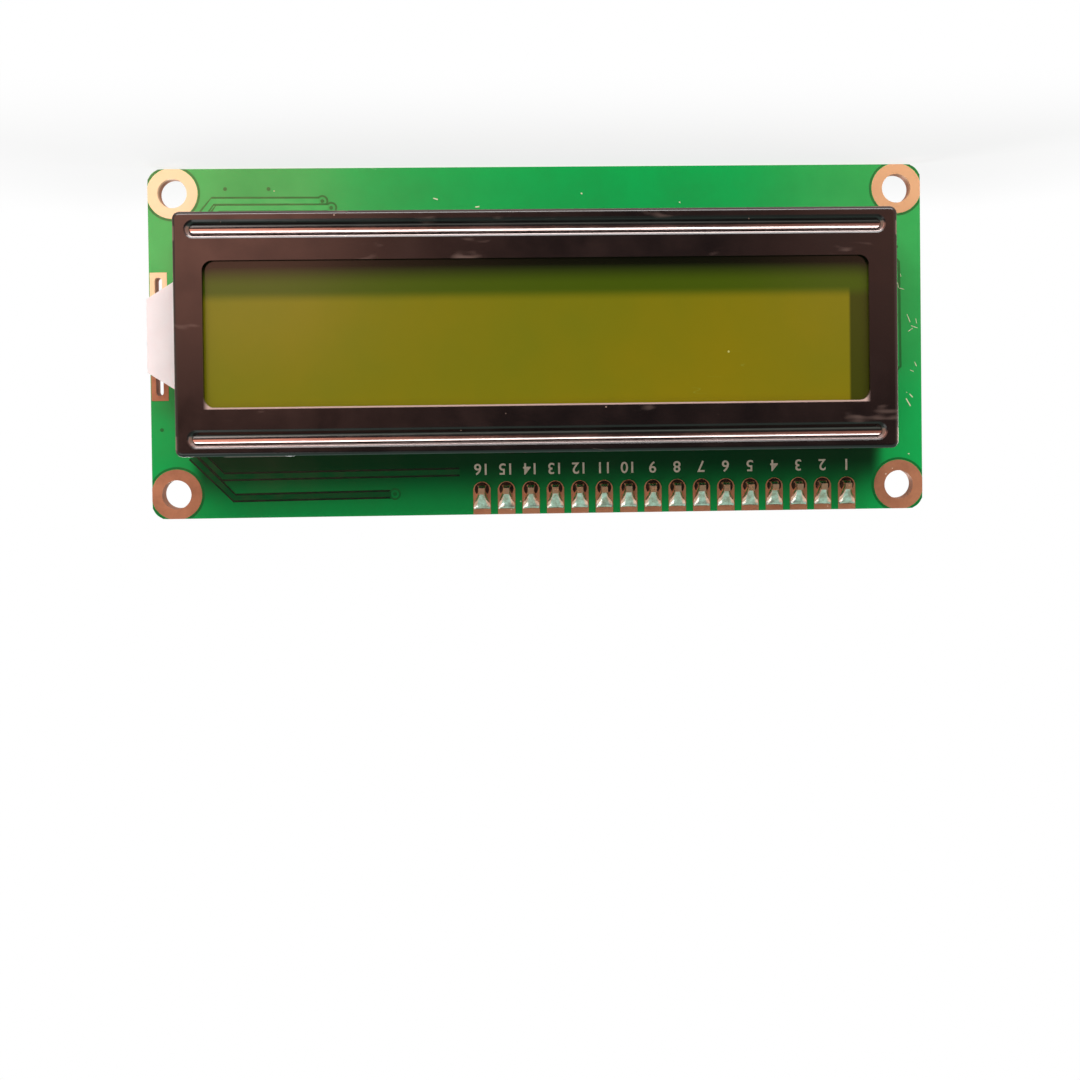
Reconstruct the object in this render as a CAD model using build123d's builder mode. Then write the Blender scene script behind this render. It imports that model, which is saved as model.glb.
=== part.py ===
from build123d import *
import os

os.makedirs("parts", exist_ok=True)

# Character display module with a serial adapter board soldered to its pin row.
# The board stands upright. X runs to the right seen from the screen side, Y runs away from the
# viewer, and Z is up, with the pin row along the top edge. The origin is the centre of the four
# corner holes, on the front face of the main board. All sizes are in millimetres.

# Main board
board_width = 80.0
board_height = 36.0
board_thickness = 1.6
board_corner = 1.5
copper = 0.05
plating = 0.1

# Corner holes, lined with copper
hole_inset = 2.5
hole_radius = 1.5
corner_ring_radius = 2.6

# Two small bare holes that locate the board while it is assembled
locating_holes = [(14.9, 10.8), (-15.0, -12.45)]
locating_hole_radius = 0.65

# Pressed steel frame over the glass
bezel_side_margin = 4.08
bezel_height = 24.2
bezel_depth = 7.0
bezel_z = -0.8
bezel_corner = 0.7
sheet = 0.5
fold_radius = 0.45
window_side_margin = 2.9
window_edge_margin = 4.85
window_corner = 1.0
groove_inset = 1.75
groove_end_gap = 1.3
groove_width = 1.6
groove_depth = 0.4
groove_slope = 45.0
groove_chamfer = 0.12

# Twisted tabs that hold the frame down
tab_width = 7.0
tab_inset = 6.92
tab_reach = 2.0
tab_twist = 32.0
tab_lean = 1.0
tab_slot_gap = 0.2
tab_slot_height = 1.3
tab_pad_height = 3.1

# Glass stack
glass_gap = 0.3
glass_thickness = 1.1
glass_ledge = 2.5
film_thickness = 0.2
diffuser_thickness = 0.3
reflector_thickness = 0.1
contact_strip_gap = 0.25
contact_strip_end_gap = 1.8

# Backlight
housing_wall = 0.8
guide_gap = 0.15
tongue_drop = 0.5
tongue_end_gap = 0.6
tongue_wide = 11.8
tongue_narrow = 7.4
tongue_wall = 0.5
tongue_lift = 0.1
notch_gap = 0.25
led_length = 5.0
led_width = 1.7
led_board_gap = 0.45
led_gap = 0.15
led_lead_spacing = 2.7
led_lead_size = 0.5
led_lead_reach = 0.6
led_lead_hole_radius = 0.45
led_solder_radius = 0.85
led_solder_height = 0.8

# Slotted copper pads for a backlight of another make
side_pad_spacing = 10.1
side_pad_width = 1.75
side_pad_height = 3.1
side_pad_edge = 0.08
side_slot_length = 2.1
side_slot_width = 0.75

# Pin row
pin_pitch = 2.54
pin_size = 0.64
header_count = 16
header_inset_x = 8.0
header_inset_z = 2.5
pin_hole_gap = 0.05
header_pad_width = 1.8
header_pad_facets = 16
pin_front_reach = 1.35
pin_back_reach = 0.85
spacer_width = 2.5
spacer_height = 2.54
block_notch = 0.5
front_solder_width = 1.6
front_solder_length = 2.5
front_solder_height = 1.15
front_solder_foot = 0.5
front_solder_slant = 0.38
front_solder_wall = 0.155
front_solder_corner = 0.45
back_solder_radius = 1.03
back_solder_height = 1.1
solder_facets = 10

# Adapter board
adapter_thickness = 1.6
adapter_bottom_margin = 1.5
adapter_side_margin = 1.5
adapter_top_margin = 1.6
tail_reach = 0.45

# Expander chip, beside the columns of small parts
chip_part_gap = 2.27
chip_from_top = 9.05
chip_width = 7.5
chip_length = 10.3
chip_height = 2.35
chip_standoff = 0.15
chip_draft = 7.0
dimple_radius = 0.45
dimple_depth = 0.12
dimple_inset = 1.25
lead_pitch = 1.27
lead_count = 8
lead_span = 10.6
lead_width = 0.42
lead_thickness = 0.25
lead_shoulder = 0.45
lead_foot = 0.85

# Contrast trimmer, beside the chip
trimmer_chip_gap = 2.75
trimmer_from_top = 8.0
trimmer_width = 7.0
trimmer_length = 6.8
trimmer_height = 4.9
trimmer_standoff = 0.3
trimmer_draft = 1.5
trimmer_wall = 0.8
trimmer_top_wall = 1.0
trimmer_ledge_width = 0.4
trimmer_ledge_depth = 0.25
rotor_radius = 1.5
rotor_gap = 0.06
rotor_recess = 0.12
rotor_flange_gap = 0.3
rotor_flange_height = 0.7
rotor_hub_radius = 1.0
rotor_slot_width = 0.6
rotor_slot_inset = 0.1
rotor_slot_depth = 0.6
tick_count = 12
tick_step = 25.0
tick_gap = 0.42
tick_length = 0.55
tick_width = 0.2
tick_depth = 0.12
trimmer_base_height = 1.2
trimmer_pin_size = 0.5
trimmer_pin_spread = 2.54
trimmer_pin_row = 1.27

# Angled pin headers on the adapter, the bus header beside the trimmer
bus_trimmer_gap = 3.21
bus_count = 4
bus_from_top = 9.35
jumper_count = 2
jumper_from_top = 8.1
block_height = 2.54
block_width = 2.54
pin_level = 1.2
pin_bend = 0.65
pin_tip_chamfer = 0.15
bus_pin_reach = 8.37
jumper_pin_overhang = 0.35

# Jumper cap
cap_gap = 0.35
cap_length = 6.1
cap_width_play = 0.08
cap_thickness = 2.45
cap_bore_gap = 0.08
cap_notch_width = 1.7
cap_notch_depth = 2.5
clip_thickness = 0.2
clip_width = 0.86
clip_from_end = 0.65
clip_length = 4.2
clip_gap = 0.04

# Small parts, in columns from the side of the adapter and in rows from its top
chip_part_length = 2.0
chip_part_width = 1.3
resistor_thickness = 0.5
capacitor_thickness = 0.9
column_start = 4.77
column_pitch = 2.57
column_count = 4
upper_row = 7.2
upper_step = 3.8
lower_row = 12.05
lying_row_gap = 2.0
lying_start = 11.45
lying_pitch = 4.5
power_led_height = 0.75
power_lens_length = 1.2
transistor_from_side = 5.5
transistor_length = 2.9
transistor_width = 1.35
transistor_height = 1.0
transistor_standoff = 0.1
transistor_lead_width = 0.42
transistor_lead_spread = 1.9
transistor_span = 2.6
transistor_lead_thickness = 0.15

# Parts on the back of the main board, from its ends and from the tabs and their pads
limit_from_tab = 9.05
limit_from_top = 6.05
limit_resistor_length = 3.2
limit_resistor_width = 1.6
board_resistor_from_end = 9.15
board_resistor_pad_gap = 1.05
board_resistor_pitch = 2.25
board_resistor_count = 3
feedback_spacing = 8.55
blob_places = {"left": (-13.0, -2.0), "right": (12.95, -0.35)}
blob_radius = 5.7
blob_height = 1.3
blob_edge = 0.55
bridge_from_end = 8.37
bridge_pad_gap = 0.95
bridge_radius = 0.95
bridge_height = 0.45

# Places worked out from the sizes above
hole_spacing_x = board_width - 2 * hole_inset
hole_spacing_z = board_height - 2 * hole_inset
bezel_width = board_width - 2 * bezel_side_margin
window_width = bezel_width - 2 * window_side_margin
window_height = bezel_height - 2 * window_edge_margin
inner_width = bezel_width - 2 * sheet
inner_height = bezel_height - 2 * sheet
glass_front = -(bezel_depth - sheet - groove_depth)
glass_width = inner_width - 2 * glass_gap
front_glass_height = inner_height - 2 * glass_gap
rear_glass_height = front_glass_height - 2 * glass_ledge
contact_strip_width = glass_ledge - 2 * contact_strip_gap
contact_strip_length = glass_width - 2 * contact_strip_end_gap
glass_joint = glass_front + glass_thickness
glass_back = glass_joint + glass_thickness
film_width = glass_width - 2 * (housing_wall + guide_gap)
film_height = rear_glass_height - 2 * (housing_wall + guide_gap)
diffuser_front = glass_back + film_thickness
guide_front = diffuser_front + diffuser_thickness
reflector_front = -housing_wall - reflector_thickness
tab_wall_z = (bezel_height - sheet) / 2
tab_spacing = bezel_width / 2 - tab_inset
tab_leg = board_thickness + copper
tab_pad_edge = tab_wall_z - tab_slot_height / 2 - tab_pad_height
bridge_place = (board_width / 2 - bridge_from_end,
                bezel_z + tab_pad_edge - bridge_pad_gap - bridge_radius)
limit_resistor_place = (tab_spacing - limit_from_tab, board_height / 2 - limit_from_top)
board_resistor_x = -board_width / 2 + board_resistor_from_end
first_resistor_z = bezel_z - tab_pad_edge + board_resistor_pad_gap + chip_part_width / 2
board_resistor_places = [(board_resistor_x, first_resistor_z + n * board_resistor_pitch)
                         for n in range(board_resistor_count)]
feedback_place = (board_resistor_x + feedback_spacing, first_resistor_z + board_resistor_pitch)
tab_places = [(x, side) for side in (-1, 1) for x in (-tab_spacing, 0, tab_spacing)]
first_pin_x = -board_width / 2 + header_inset_x
last_pin_x = first_pin_x + (header_count - 1) * pin_pitch
header_z = board_height / 2 - header_inset_z
header_x = (first_pin_x + last_pin_x) / 2
header_places = [(first_pin_x + n * pin_pitch, header_z) for n in range(header_count)]
adapter_front = board_thickness + spacer_height
adapter_back = adapter_front + adapter_thickness
adapter_side = last_pin_x + adapter_side_margin
adapter_top = header_z + adapter_top_margin
columns = [column_start + n * column_pitch for n in range(column_count)]
chip_from_side = columns[-1] + chip_part_width / 2 + chip_part_gap + lead_span / 2
trimmer_from_side = chip_from_side + lead_span / 2 + trimmer_chip_gap + trimmer_width / 2
bus_from_side = trimmer_from_side + trimmer_width / 2 + bus_trimmer_gap + block_width / 2
lying_row = chip_from_top + chip_length / 2 + lying_row_gap + chip_part_width / 2
adapter_width = bus_from_side + block_width / 2
adapter_height = lying_row + chip_part_width / 2 + adapter_bottom_margin
adapter_x = adapter_side - adapter_width / 2
adapter_z = adapter_top - adapter_height / 2
pin_hole_radius = pin_size / 2 ** 0.5 + pin_hole_gap
tongue_depth = -glass_back - tongue_drop
tongue_end_x = board_width / 2 - tongue_end_gap
led_height = tongue_depth - tongue_wall - led_gap - led_board_gap
led_x = tongue_end_x - tongue_wall - led_gap - led_width / 2
led_lead_x = led_x + (led_width - led_lead_size) / 2


def at_depth(y):
    """Upright sketch plane at depth y, with X to the right, Z up and its normal to the viewer."""
    return Plane.XZ.offset(-y)


def on_adapter(place):
    """X and Z of a place that is given from the adapter's top corner on the pin 16 side."""
    return (adapter_side - place[0], adapter_top - place[1])


# Pressed steel frame: a tray with a window, two stamped grooves whose ribs press on the glass, a
# notch for the backlight's tongue, and six tabs that pass through the board and are twisted.
with BuildPart() as bezel:
    with BuildSketch(at_depth(0)):
        with Locations((0, bezel_z)):
            RectangleRounded(bezel_width, bezel_height, bezel_corner)
    extrude(amount=bezel_depth)
    fillet(bezel.faces().sort_by(Axis.Y)[0].edges(), fold_radius)
    with BuildSketch(at_depth(0)):
        with Locations((0, bezel_z)):
            Rectangle(inner_width, inner_height)
    extrude(amount=bezel_depth - sheet, mode=Mode.SUBTRACT)
    with BuildSketch(at_depth(-bezel_depth)):
        with Locations((0, bezel_z)):
            RectangleRounded(window_width, window_height, window_corner)
    extrude(amount=-2 * sheet, mode=Mode.SUBTRACT)
    groove_z = bezel_height / 2 - groove_inset
    groove_length = bezel_width - 2 * groove_end_gap
    with BuildSketch(at_depth(-bezel_depth + sheet)):
        with Locations((0, bezel_z - groove_z), (0, bezel_z + groove_z)):
            SlotOverall(groove_length, groove_width)
    extrude(amount=-groove_depth)
    with BuildSketch(at_depth(-bezel_depth)):
        with Locations((0, bezel_z - groove_z), (0, bezel_z + groove_z)):
            SlotOverall(groove_length, groove_width)
    extrude(amount=-groove_depth, taper=groove_slope, mode=Mode.SUBTRACT)
    front_wires = bezel.faces().sort_by(Axis.Y)[0].inner_wires().sort_by(SortBy.LENGTH)
    groove_rims = [edge for wire in front_wires if wire.bounding_box().size.Z < window_height / 2
                   for edge in wire.edges()]
    chamfer(groove_rims, groove_chamfer)
    notch_z = tongue_wide + 2 * notch_gap + sheet
    with BuildSketch(at_depth(0)):
        with Locations((bezel_width / 2 - sheet / 2, bezel_z)):
            Rectangle(2 * sheet, notch_z)
    extrude(amount=tongue_depth + notch_gap, mode=Mode.SUBTRACT)
    for tab_x, side in tab_places:
        leg_z = bezel_z + side * tab_wall_z
        with BuildSketch(at_depth(0)):
            with Locations((tab_x, leg_z)):
                Rectangle(tab_width, sheet)
        extrude(amount=-tab_leg)
        with BuildSketch(at_depth(tab_leg)):
            with Locations((tab_x, leg_z)):
                Rectangle(tab_width, sheet)
        with BuildSketch(at_depth(tab_leg + tab_reach)):
            with Locations((tab_x, leg_z - side * tab_lean)):
                Rectangle(tab_width, sheet, rotation=-tab_twist)
        loft()

bezel.part.label = "bezel"
export_step(bezel.part, "parts/bezel.step")


def flat_sheet(width, height, front, thickness):
    """Flat rectangular sheet centred behind the window, with its front face at a given depth."""
    with BuildPart() as layer:
        with BuildSketch(at_depth(front)):
            with Locations((0, bezel_z)):
                Rectangle(width, height)
        extrude(amount=-thickness)
    return layer


# Display cell: two glass plates bonded face to face between two polarizing films. The front plate
# is taller, and its two ledges carry the contacts.
front_polarizer = flat_sheet(film_width, film_height, glass_front - film_thickness, film_thickness)
front_polarizer.part.label = "front_polarizer"
export_step(front_polarizer.part, "parts/front_polarizer.step")

front_glass = flat_sheet(glass_width, front_glass_height, glass_front, glass_thickness)
front_glass.part.label = "front_glass"
export_step(front_glass.part, "parts/front_glass.step")

rear_glass = flat_sheet(glass_width, rear_glass_height, glass_joint, glass_thickness)
rear_glass.part.label = "rear_glass"
export_step(rear_glass.part, "parts/rear_glass.step")

rear_polarizer = flat_sheet(film_width, film_height, glass_back, film_thickness)
rear_polarizer.part.label = "rear_polarizer"
export_step(rear_polarizer.part, "parts/rear_polarizer.step")

diffuser_sheet = flat_sheet(film_width, film_height, diffuser_front, diffuser_thickness)
diffuser_sheet.part.label = "diffuser_sheet"
export_step(diffuser_sheet.part, "parts/diffuser_sheet.step")

reflector_sheet = flat_sheet(film_width, film_height, reflector_front, reflector_thickness)
reflector_sheet.part.label = "reflector_sheet"
export_step(reflector_sheet.part, "parts/reflector_sheet.step")

# Elastomer contact strips, squeezed between the board and the ledges of the front glass.
strip_z = rear_glass_height / 2 + contact_strip_gap + contact_strip_width / 2
for strip_name, side in (("contact_strip_lower", -1), ("contact_strip_upper", 1)):
    with BuildPart() as contact_strip:
        with BuildSketch(at_depth(0)):
            with Locations((0, bezel_z + side * strip_z)):
                Rectangle(contact_strip_length, contact_strip_width)
        extrude(amount=-glass_joint)
    contact_strip.part.label = strip_name
    export_step(contact_strip.part, f"parts/{strip_name}.step")

# White backlight housing: a tray open to the front, with a tapering tongue that leaves the frame
# through its notch. The tongue is closed at the front and open to the board.
frame_side = bezel_width / 2
housing_end = glass_width / 2
tongue_slope = (tongue_wide - tongue_narrow) / 2 / (tongue_end_x - frame_side)
tongue_root = tongue_wide / 2 + tongue_slope * (frame_side - housing_end)
led_face_x = led_x - led_width / 2
guide_depth = -glass_back - film_thickness - diffuser_thickness - housing_wall - reflector_thickness


def tongue_outline(start_x, end_x, inset):
    """Corners of the tongue between two places along X, moved in from its sides by an inset."""
    start = tongue_root - tongue_slope * (start_x - housing_end) - inset
    end = tongue_root - tongue_slope * (end_x - housing_end) - inset
    return [(start_x, bezel_z - start), (end_x, bezel_z - end), (end_x, bezel_z + end),
            (start_x, bezel_z + start)]


with BuildPart() as backlight_housing:
    with BuildSketch(at_depth(0)):
        with Locations((0, bezel_z)):
            Rectangle(glass_width, rear_glass_height)
    extrude(amount=-glass_back)
    with BuildSketch(at_depth(-tongue_lift)):
        with BuildLine():
            Polyline(*tongue_outline(housing_end, tongue_end_x, 0), close=True)
        make_face()
    extrude(amount=tongue_depth - tongue_lift)
    with BuildSketch(at_depth(-housing_wall)):
        with Locations((0, bezel_z)):
            Rectangle(film_width + 2 * guide_gap, film_height + 2 * guide_gap)
    extrude(amount=-glass_back - housing_wall, mode=Mode.SUBTRACT)
    pocket_start = film_width / 2
    with BuildSketch(at_depth(0)):
        with BuildLine():
            Polyline(*tongue_outline(housing_end + tongue_wall, tongue_end_x - tongue_wall, tongue_wall),
                     close=True)
        make_face()
    extrude(amount=tongue_depth - tongue_wall, mode=Mode.SUBTRACT)
    with BuildSketch(at_depth(-housing_wall)):
        with BuildLine():
            Polyline(*tongue_outline(pocket_start, led_x, tongue_wall), close=True)
        make_face()
    extrude(amount=tongue_depth - tongue_wall - housing_wall, mode=Mode.SUBTRACT)

backlight_housing.part.label = "backlight_housing"
export_step(backlight_housing.part, "parts/backlight_housing.step")

# Clear light guide with a tapering nose that faces the lamp in the tongue.
nose_depth = tongue_depth - tongue_wall - housing_wall - reflector_thickness - guide_gap
with BuildPart() as light_guide:
    with BuildSketch(at_depth(reflector_front)):
        with Locations((0, bezel_z)):
            Rectangle(film_width, film_height)
    extrude(amount=guide_depth)
    with BuildSketch(at_depth(reflector_front)):
        with BuildLine():
            Polyline(*tongue_outline(film_width / 2, led_face_x - led_gap, tongue_wall + guide_gap),
                     close=True)
        make_face()
    extrude(amount=nose_depth)

light_guide.part.label = "light_guide"
export_step(light_guide.part, "parts/light_guide.step")

# Lamp in the tongue, its two leads through the board, and the solder on the back.
led_front = -(tongue_depth - tongue_wall - led_gap)
with BuildPart() as backlight_led:
    with BuildSketch(at_depth(led_front)):
        with Locations((led_x, bezel_z)):
            Rectangle(led_width, led_length)
    extrude(amount=-led_height)

backlight_led.part.label = "backlight_led"
export_step(backlight_led.part, "parts/backlight_led.step")

led_lead_places = [(led_lead_x, bezel_z + side * led_lead_spacing / 2) for side in (-1, 1)]
led_back = led_front + led_height
with BuildPart() as backlight_leads:
    with BuildSketch(at_depth(led_back)):
        with Locations(*led_lead_places):
            Rectangle(led_lead_size, led_lead_size)
    extrude(amount=-(board_thickness + led_lead_reach - led_back))

backlight_leads.part.label = "backlight_leads"
export_step(backlight_leads.part, "parts/backlight_leads.step")


def dome(radius, height):
    """Dome of solder that rises towards the back from a flat base at the origin."""
    with BuildPart() as piece:
        with BuildSketch(at_depth(0)):
            RegularPolygon(radius, solder_facets)
        extrude(amount=-height)
        for inward, down in ((0.42 * radius, 0.6 * height), (0.32 * radius, 0.14 * height)):
            top = piece.faces().sort_by(Axis.Y)[-1]
            chamfer(top.edges(), inward, down, reference=top)
    return piece


led_solder_dome = dome(led_solder_radius, led_solder_height)
with BuildPart() as backlight_solder:
    with Locations(*[(x, board_thickness, z) for x, z in led_lead_places]):
        add(led_solder_dome.part)
    with BuildSketch(at_depth(board_thickness)):
        with Locations(*led_lead_places):
            Rectangle(led_lead_size, led_lead_size)
    extrude(amount=-led_lead_reach, mode=Mode.SUBTRACT)

backlight_solder.part.label = "backlight_solder"
export_step(backlight_solder.part, "parts/backlight_solder.step")

# Main board with its plated corner holes, pin holes, tab slots, side slots and lamp holes.
side_pad_x = board_width / 2 - side_pad_edge - side_pad_width / 2
side_pad_places = [(side_pad_x, bezel_z + side * side_pad_spacing / 2) for side in (-1, 1)]
tab_slot_length = tab_width + 2 * tab_slot_gap + tab_slot_height - sheet
tab_slot_places = [(x, bezel_z + side * tab_wall_z) for x, side in tab_places]
with BuildPart() as lcd_board:
    with BuildSketch(at_depth(0)):
        RectangleRounded(board_width, board_height, board_corner)
        with GridLocations(hole_spacing_x, hole_spacing_z, 2, 2):
            Circle(hole_radius + plating, mode=Mode.SUBTRACT)
        with Locations(*header_places):
            RegularPolygon(pin_hole_radius, 8, major_radius=False, mode=Mode.SUBTRACT)
        with Locations(*tab_slot_places):
            SlotOverall(tab_slot_length, tab_slot_height, mode=Mode.SUBTRACT)
        with Locations(*side_pad_places):
            SlotOverall(side_slot_length + 2 * plating, side_slot_width + 2 * plating, rotation=90,
                        mode=Mode.SUBTRACT)
        with Locations(*led_lead_places):
            Circle(led_lead_hole_radius, mode=Mode.SUBTRACT)
        with Locations(*locating_holes):
            Circle(locating_hole_radius, mode=Mode.SUBTRACT)
    extrude(amount=-board_thickness)

lcd_board.part.label = "lcd_board"
export_step(lcd_board.part, "parts/lcd_board.step")

# Copper linings of the corner holes, with a ring on each face that stops at the board's edge.
with BuildPart() as corner_eyelets:
    with BuildSketch(at_depth(0)):
        with GridLocations(hole_spacing_x, hole_spacing_z, 2, 2):
            Circle(hole_radius + plating)
    extrude(amount=-board_thickness)
    for ring_front in (-copper, board_thickness):
        with BuildSketch(at_depth(ring_front)):
            with GridLocations(hole_spacing_x, hole_spacing_z, 2, 2):
                Circle(corner_ring_radius)
            RectangleRounded(board_width, board_height, board_corner, mode=Mode.INTERSECT)
        extrude(amount=-copper)
    with BuildSketch(at_depth(-copper)):
        with GridLocations(hole_spacing_x, hole_spacing_z, 2, 2):
            Circle(hole_radius)
    extrude(amount=-(board_thickness + 2 * copper), mode=Mode.SUBTRACT)

corner_eyelets.part.label = "corner_eyelets"
export_step(corner_eyelets.part, "parts/corner_eyelets.step")

# Copper pads with plated slots beside the tongue.
with BuildPart() as side_pads:
    with BuildSketch(at_depth(0)):
        with Locations(*side_pad_places):
            SlotOverall(side_slot_length + 2 * plating, side_slot_width + 2 * plating, rotation=90)
    extrude(amount=-board_thickness)
    for pad_front in (-copper, board_thickness):
        with BuildSketch(at_depth(pad_front)):
            with Locations(*side_pad_places):
                Rectangle(side_pad_width, side_pad_height)
        extrude(amount=-copper)
    with BuildSketch(at_depth(-copper)):
        with Locations(*side_pad_places):
            SlotOverall(side_slot_length, side_slot_width, rotation=90)
    extrude(amount=-(board_thickness + 2 * copper), mode=Mode.SUBTRACT)

side_pads.part.label = "side_pads"
export_step(side_pads.part, "parts/side_pads.step")

# Bare copper on the back beside each tab slot.
tab_pad_offset = (tab_slot_height + tab_pad_height) / 2
with BuildPart() as tab_pads:
    with BuildSketch(at_depth(board_thickness)):
        with Locations(*[(x, bezel_z + side * (tab_wall_z - tab_pad_offset)) for x, side in tab_places]):
            Rectangle(tab_width, tab_pad_height)
    extrude(amount=-copper)

tab_pads.part.label = "tab_pads"
export_step(tab_pads.part, "parts/tab_pads.step")

# Copper pads of the pin row on the front, round at the pin and cut square at the board's edge.
pad_stem = board_height / 2 - header_z
with BuildPart() as header_pads:
    with BuildSketch(at_depth(-copper)):
        with Locations(*header_places):
            RegularPolygon(header_pad_width / 2, header_pad_facets, major_radius=False,
                           rotation=180 / header_pad_facets)
        with Locations(*[(x, header_z + pad_stem / 2) for x, z in header_places]):
            Rectangle(header_pad_width, pad_stem)
        with Locations(*header_places):
            RegularPolygon(pin_hole_radius, 8, major_radius=False, mode=Mode.SUBTRACT)
    extrude(amount=-copper)

header_pads.part.label = "header_pads"
export_step(header_pads.part, "parts/header_pads.step")


def notched_block(count, width, height, x, z, front, upright):
    """Pin header block: a bar with a notch between pins, and a square hole for each pin."""
    bar_length = count * pin_pitch
    turn = 90 if upright else 0
    with BuildPart() as block:
        with BuildSketch(at_depth(front)):
            with Locations(Location((x, z), turn)):
                Rectangle(bar_length, width)
                with GridLocations(pin_pitch, width, count + 1, 2):
                    Rectangle(block_notch, block_notch, rotation=45, mode=Mode.SUBTRACT)
                with GridLocations(pin_pitch, 0, count, 1):
                    Rectangle(pin_size, pin_size, mode=Mode.SUBTRACT)
        extrude(amount=-height)
    return block


# Plastic spacer of the pin row, between the two boards.
header_spacer = notched_block(header_count, spacer_width, spacer_height, header_x, header_z,
                              board_thickness, False)
header_spacer.part.label = "header_spacer"
export_step(header_spacer.part, "parts/header_spacer.step")

# Straight square pins through both boards.
with BuildPart() as header_pins:
    with BuildSketch(at_depth(-copper - pin_front_reach)):
        with Locations(*header_places):
            Rectangle(pin_size, pin_size)
    extrude(amount=-(copper + pin_front_reach + adapter_back + pin_back_reach))

header_pins.part.label = "header_pins"
export_step(header_pins.part, "parts/header_pins.step")

# Solder on the front: a foot that runs down its pad towards the board's edge, and a collar that
# climbs the pin.
solder_shift = (front_solder_length - front_solder_width) / 2
with BuildPart() as header_solder_front:
    with BuildSketch(at_depth(-copper)) as feet:
        with Locations(*[(x, z + solder_shift) for x, z in header_places]):
            Rectangle(front_solder_width, front_solder_length)
        chamfer(feet.vertices(), front_solder_corner)
    extrude(amount=front_solder_foot)
    chamfer(header_solder_front.faces().group_by(Axis.Y)[0].edges(), front_solder_slant)
    with BuildSketch(at_depth(-copper)):
        with Locations(*header_places):
            RegularPolygon(pin_size / 2 + front_solder_wall, 8, major_radius=False, rotation=22.5)
    extrude(amount=front_solder_height)
    with BuildSketch(at_depth(-copper)):
        with Locations(*header_places):
            Rectangle(pin_size, pin_size)
    extrude(amount=front_solder_height, mode=Mode.SUBTRACT)

header_solder_front.part.label = "header_solder_front"
export_step(header_solder_front.part, "parts/header_solder_front.step")

# Solder on the back of the adapter: full round domes over the pin ends.
back_solder_dome = dome(back_solder_radius, back_solder_height)
with BuildPart() as header_solder_back:
    with Locations(*[(x, adapter_back, z) for x, z in header_places]):
        add(back_solder_dome.part)
    with BuildSketch(at_depth(adapter_back)):
        with Locations(*header_places):
            Rectangle(pin_size, pin_size)
    extrude(amount=-pin_back_reach, mode=Mode.SUBTRACT)

header_solder_back.part.label = "header_solder_back"
export_step(header_solder_back.part, "parts/header_solder_back.step")

# Adapter board with the holes for the pin row, the trimmer and the two angled headers.
bus_x = adapter_side - bus_from_side
bus_z = adapter_top - bus_from_top
jumper_x = adapter_side - block_width / 2
jumper_z = adapter_top - jumper_from_top
bus_rows = [bus_z + (n - (bus_count - 1) / 2) * pin_pitch for n in range(bus_count)]
jumper_rows = [jumper_z + (n - (jumper_count - 1) / 2) * pin_pitch for n in range(jumper_count)]
trimmer_x, trimmer_z = on_adapter((trimmer_from_side, trimmer_from_top))
trimmer_pin_places = [(trimmer_x - trimmer_pin_spread, trimmer_z - trimmer_pin_row),
                      (trimmer_x, trimmer_z + trimmer_pin_row),
                      (trimmer_x + trimmer_pin_spread, trimmer_z - trimmer_pin_row)]
with BuildPart() as adapter_board:
    with BuildSketch(at_depth(adapter_front)):
        with Locations((adapter_x, adapter_z)):
            Rectangle(adapter_width, adapter_height)
        with Locations(*header_places):
            RegularPolygon(pin_hole_radius, 8, major_radius=False, mode=Mode.SUBTRACT)
        with Locations(*[(bus_x, z) for z in bus_rows], *[(jumper_x, z) for z in jumper_rows]):
            RegularPolygon(pin_hole_radius, 8, major_radius=False, mode=Mode.SUBTRACT)
        with Locations(*trimmer_pin_places):
            RegularPolygon(pin_hole_radius, 8, major_radius=False, mode=Mode.SUBTRACT)
    extrude(amount=-adapter_thickness)

adapter_board.part.label = "adapter_board"
export_step(adapter_board.part, "parts/adapter_board.step")

# Expander chip: moulded body with drafted sides above and below its parting line, and a dimple.
chip_x, chip_z = on_adapter((chip_from_side, chip_from_top))
chip_middle = adapter_back + chip_standoff + (chip_height - chip_standoff) / 2
chip_top = adapter_back + chip_height
with BuildPart() as expander_chip:
    for direction in (-1, 1):
        with BuildSketch(at_depth(chip_middle)):
            with Locations((chip_x, chip_z)):
                Rectangle(chip_width, chip_length)
        extrude(amount=direction * (chip_height - chip_standoff) / 2, taper=chip_draft)
    with BuildSketch(at_depth(chip_top)):
        with Locations((chip_x - chip_width / 2 + dimple_inset, chip_z - chip_length / 2 + dimple_inset)):
            Circle(dimple_radius)
    extrude(amount=dimple_depth, mode=Mode.SUBTRACT)

expander_chip.part.label = "expander_chip"
export_step(expander_chip.part, "parts/expander_chip.step")


def gull_leads(x, rows, side, body_half, half_span, level, foot, width, thickness):
    """Gull-wing leads of one side of a chip, bent out of a strip, one for each row."""
    half = thickness / 2
    seat = adapter_back + half
    start = x + side * (body_half + half)
    shoulder = x + side * (half_span - foot)
    with BuildPart() as leads:
        for row in rows:
            with BuildSketch(Plane.XY.offset(row)):
                with BuildLine():
                    Polyline((start - side * half, level), (shoulder - side * half, level),
                             (shoulder + side * half, seat), (x + side * half_span, seat))
                trace(line_width=thickness)
            extrude(amount=width / 2, both=True)
    return leads


# Two rows of gull-wing leads, from the chip's parting line down to the adapter.
chip_rows = [chip_z + (n - (lead_count - 1) / 2) * lead_pitch for n in range(lead_count)]
with BuildPart() as expander_leads:
    for side in (-1, 1):
        add(gull_leads(chip_x, chip_rows, side, chip_width / 2, lead_span / 2, chip_middle, lead_foot,
                       lead_width, lead_thickness).part)

expander_leads.part.label = "expander_leads"
export_step(expander_leads.part, "parts/expander_leads.step")

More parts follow.
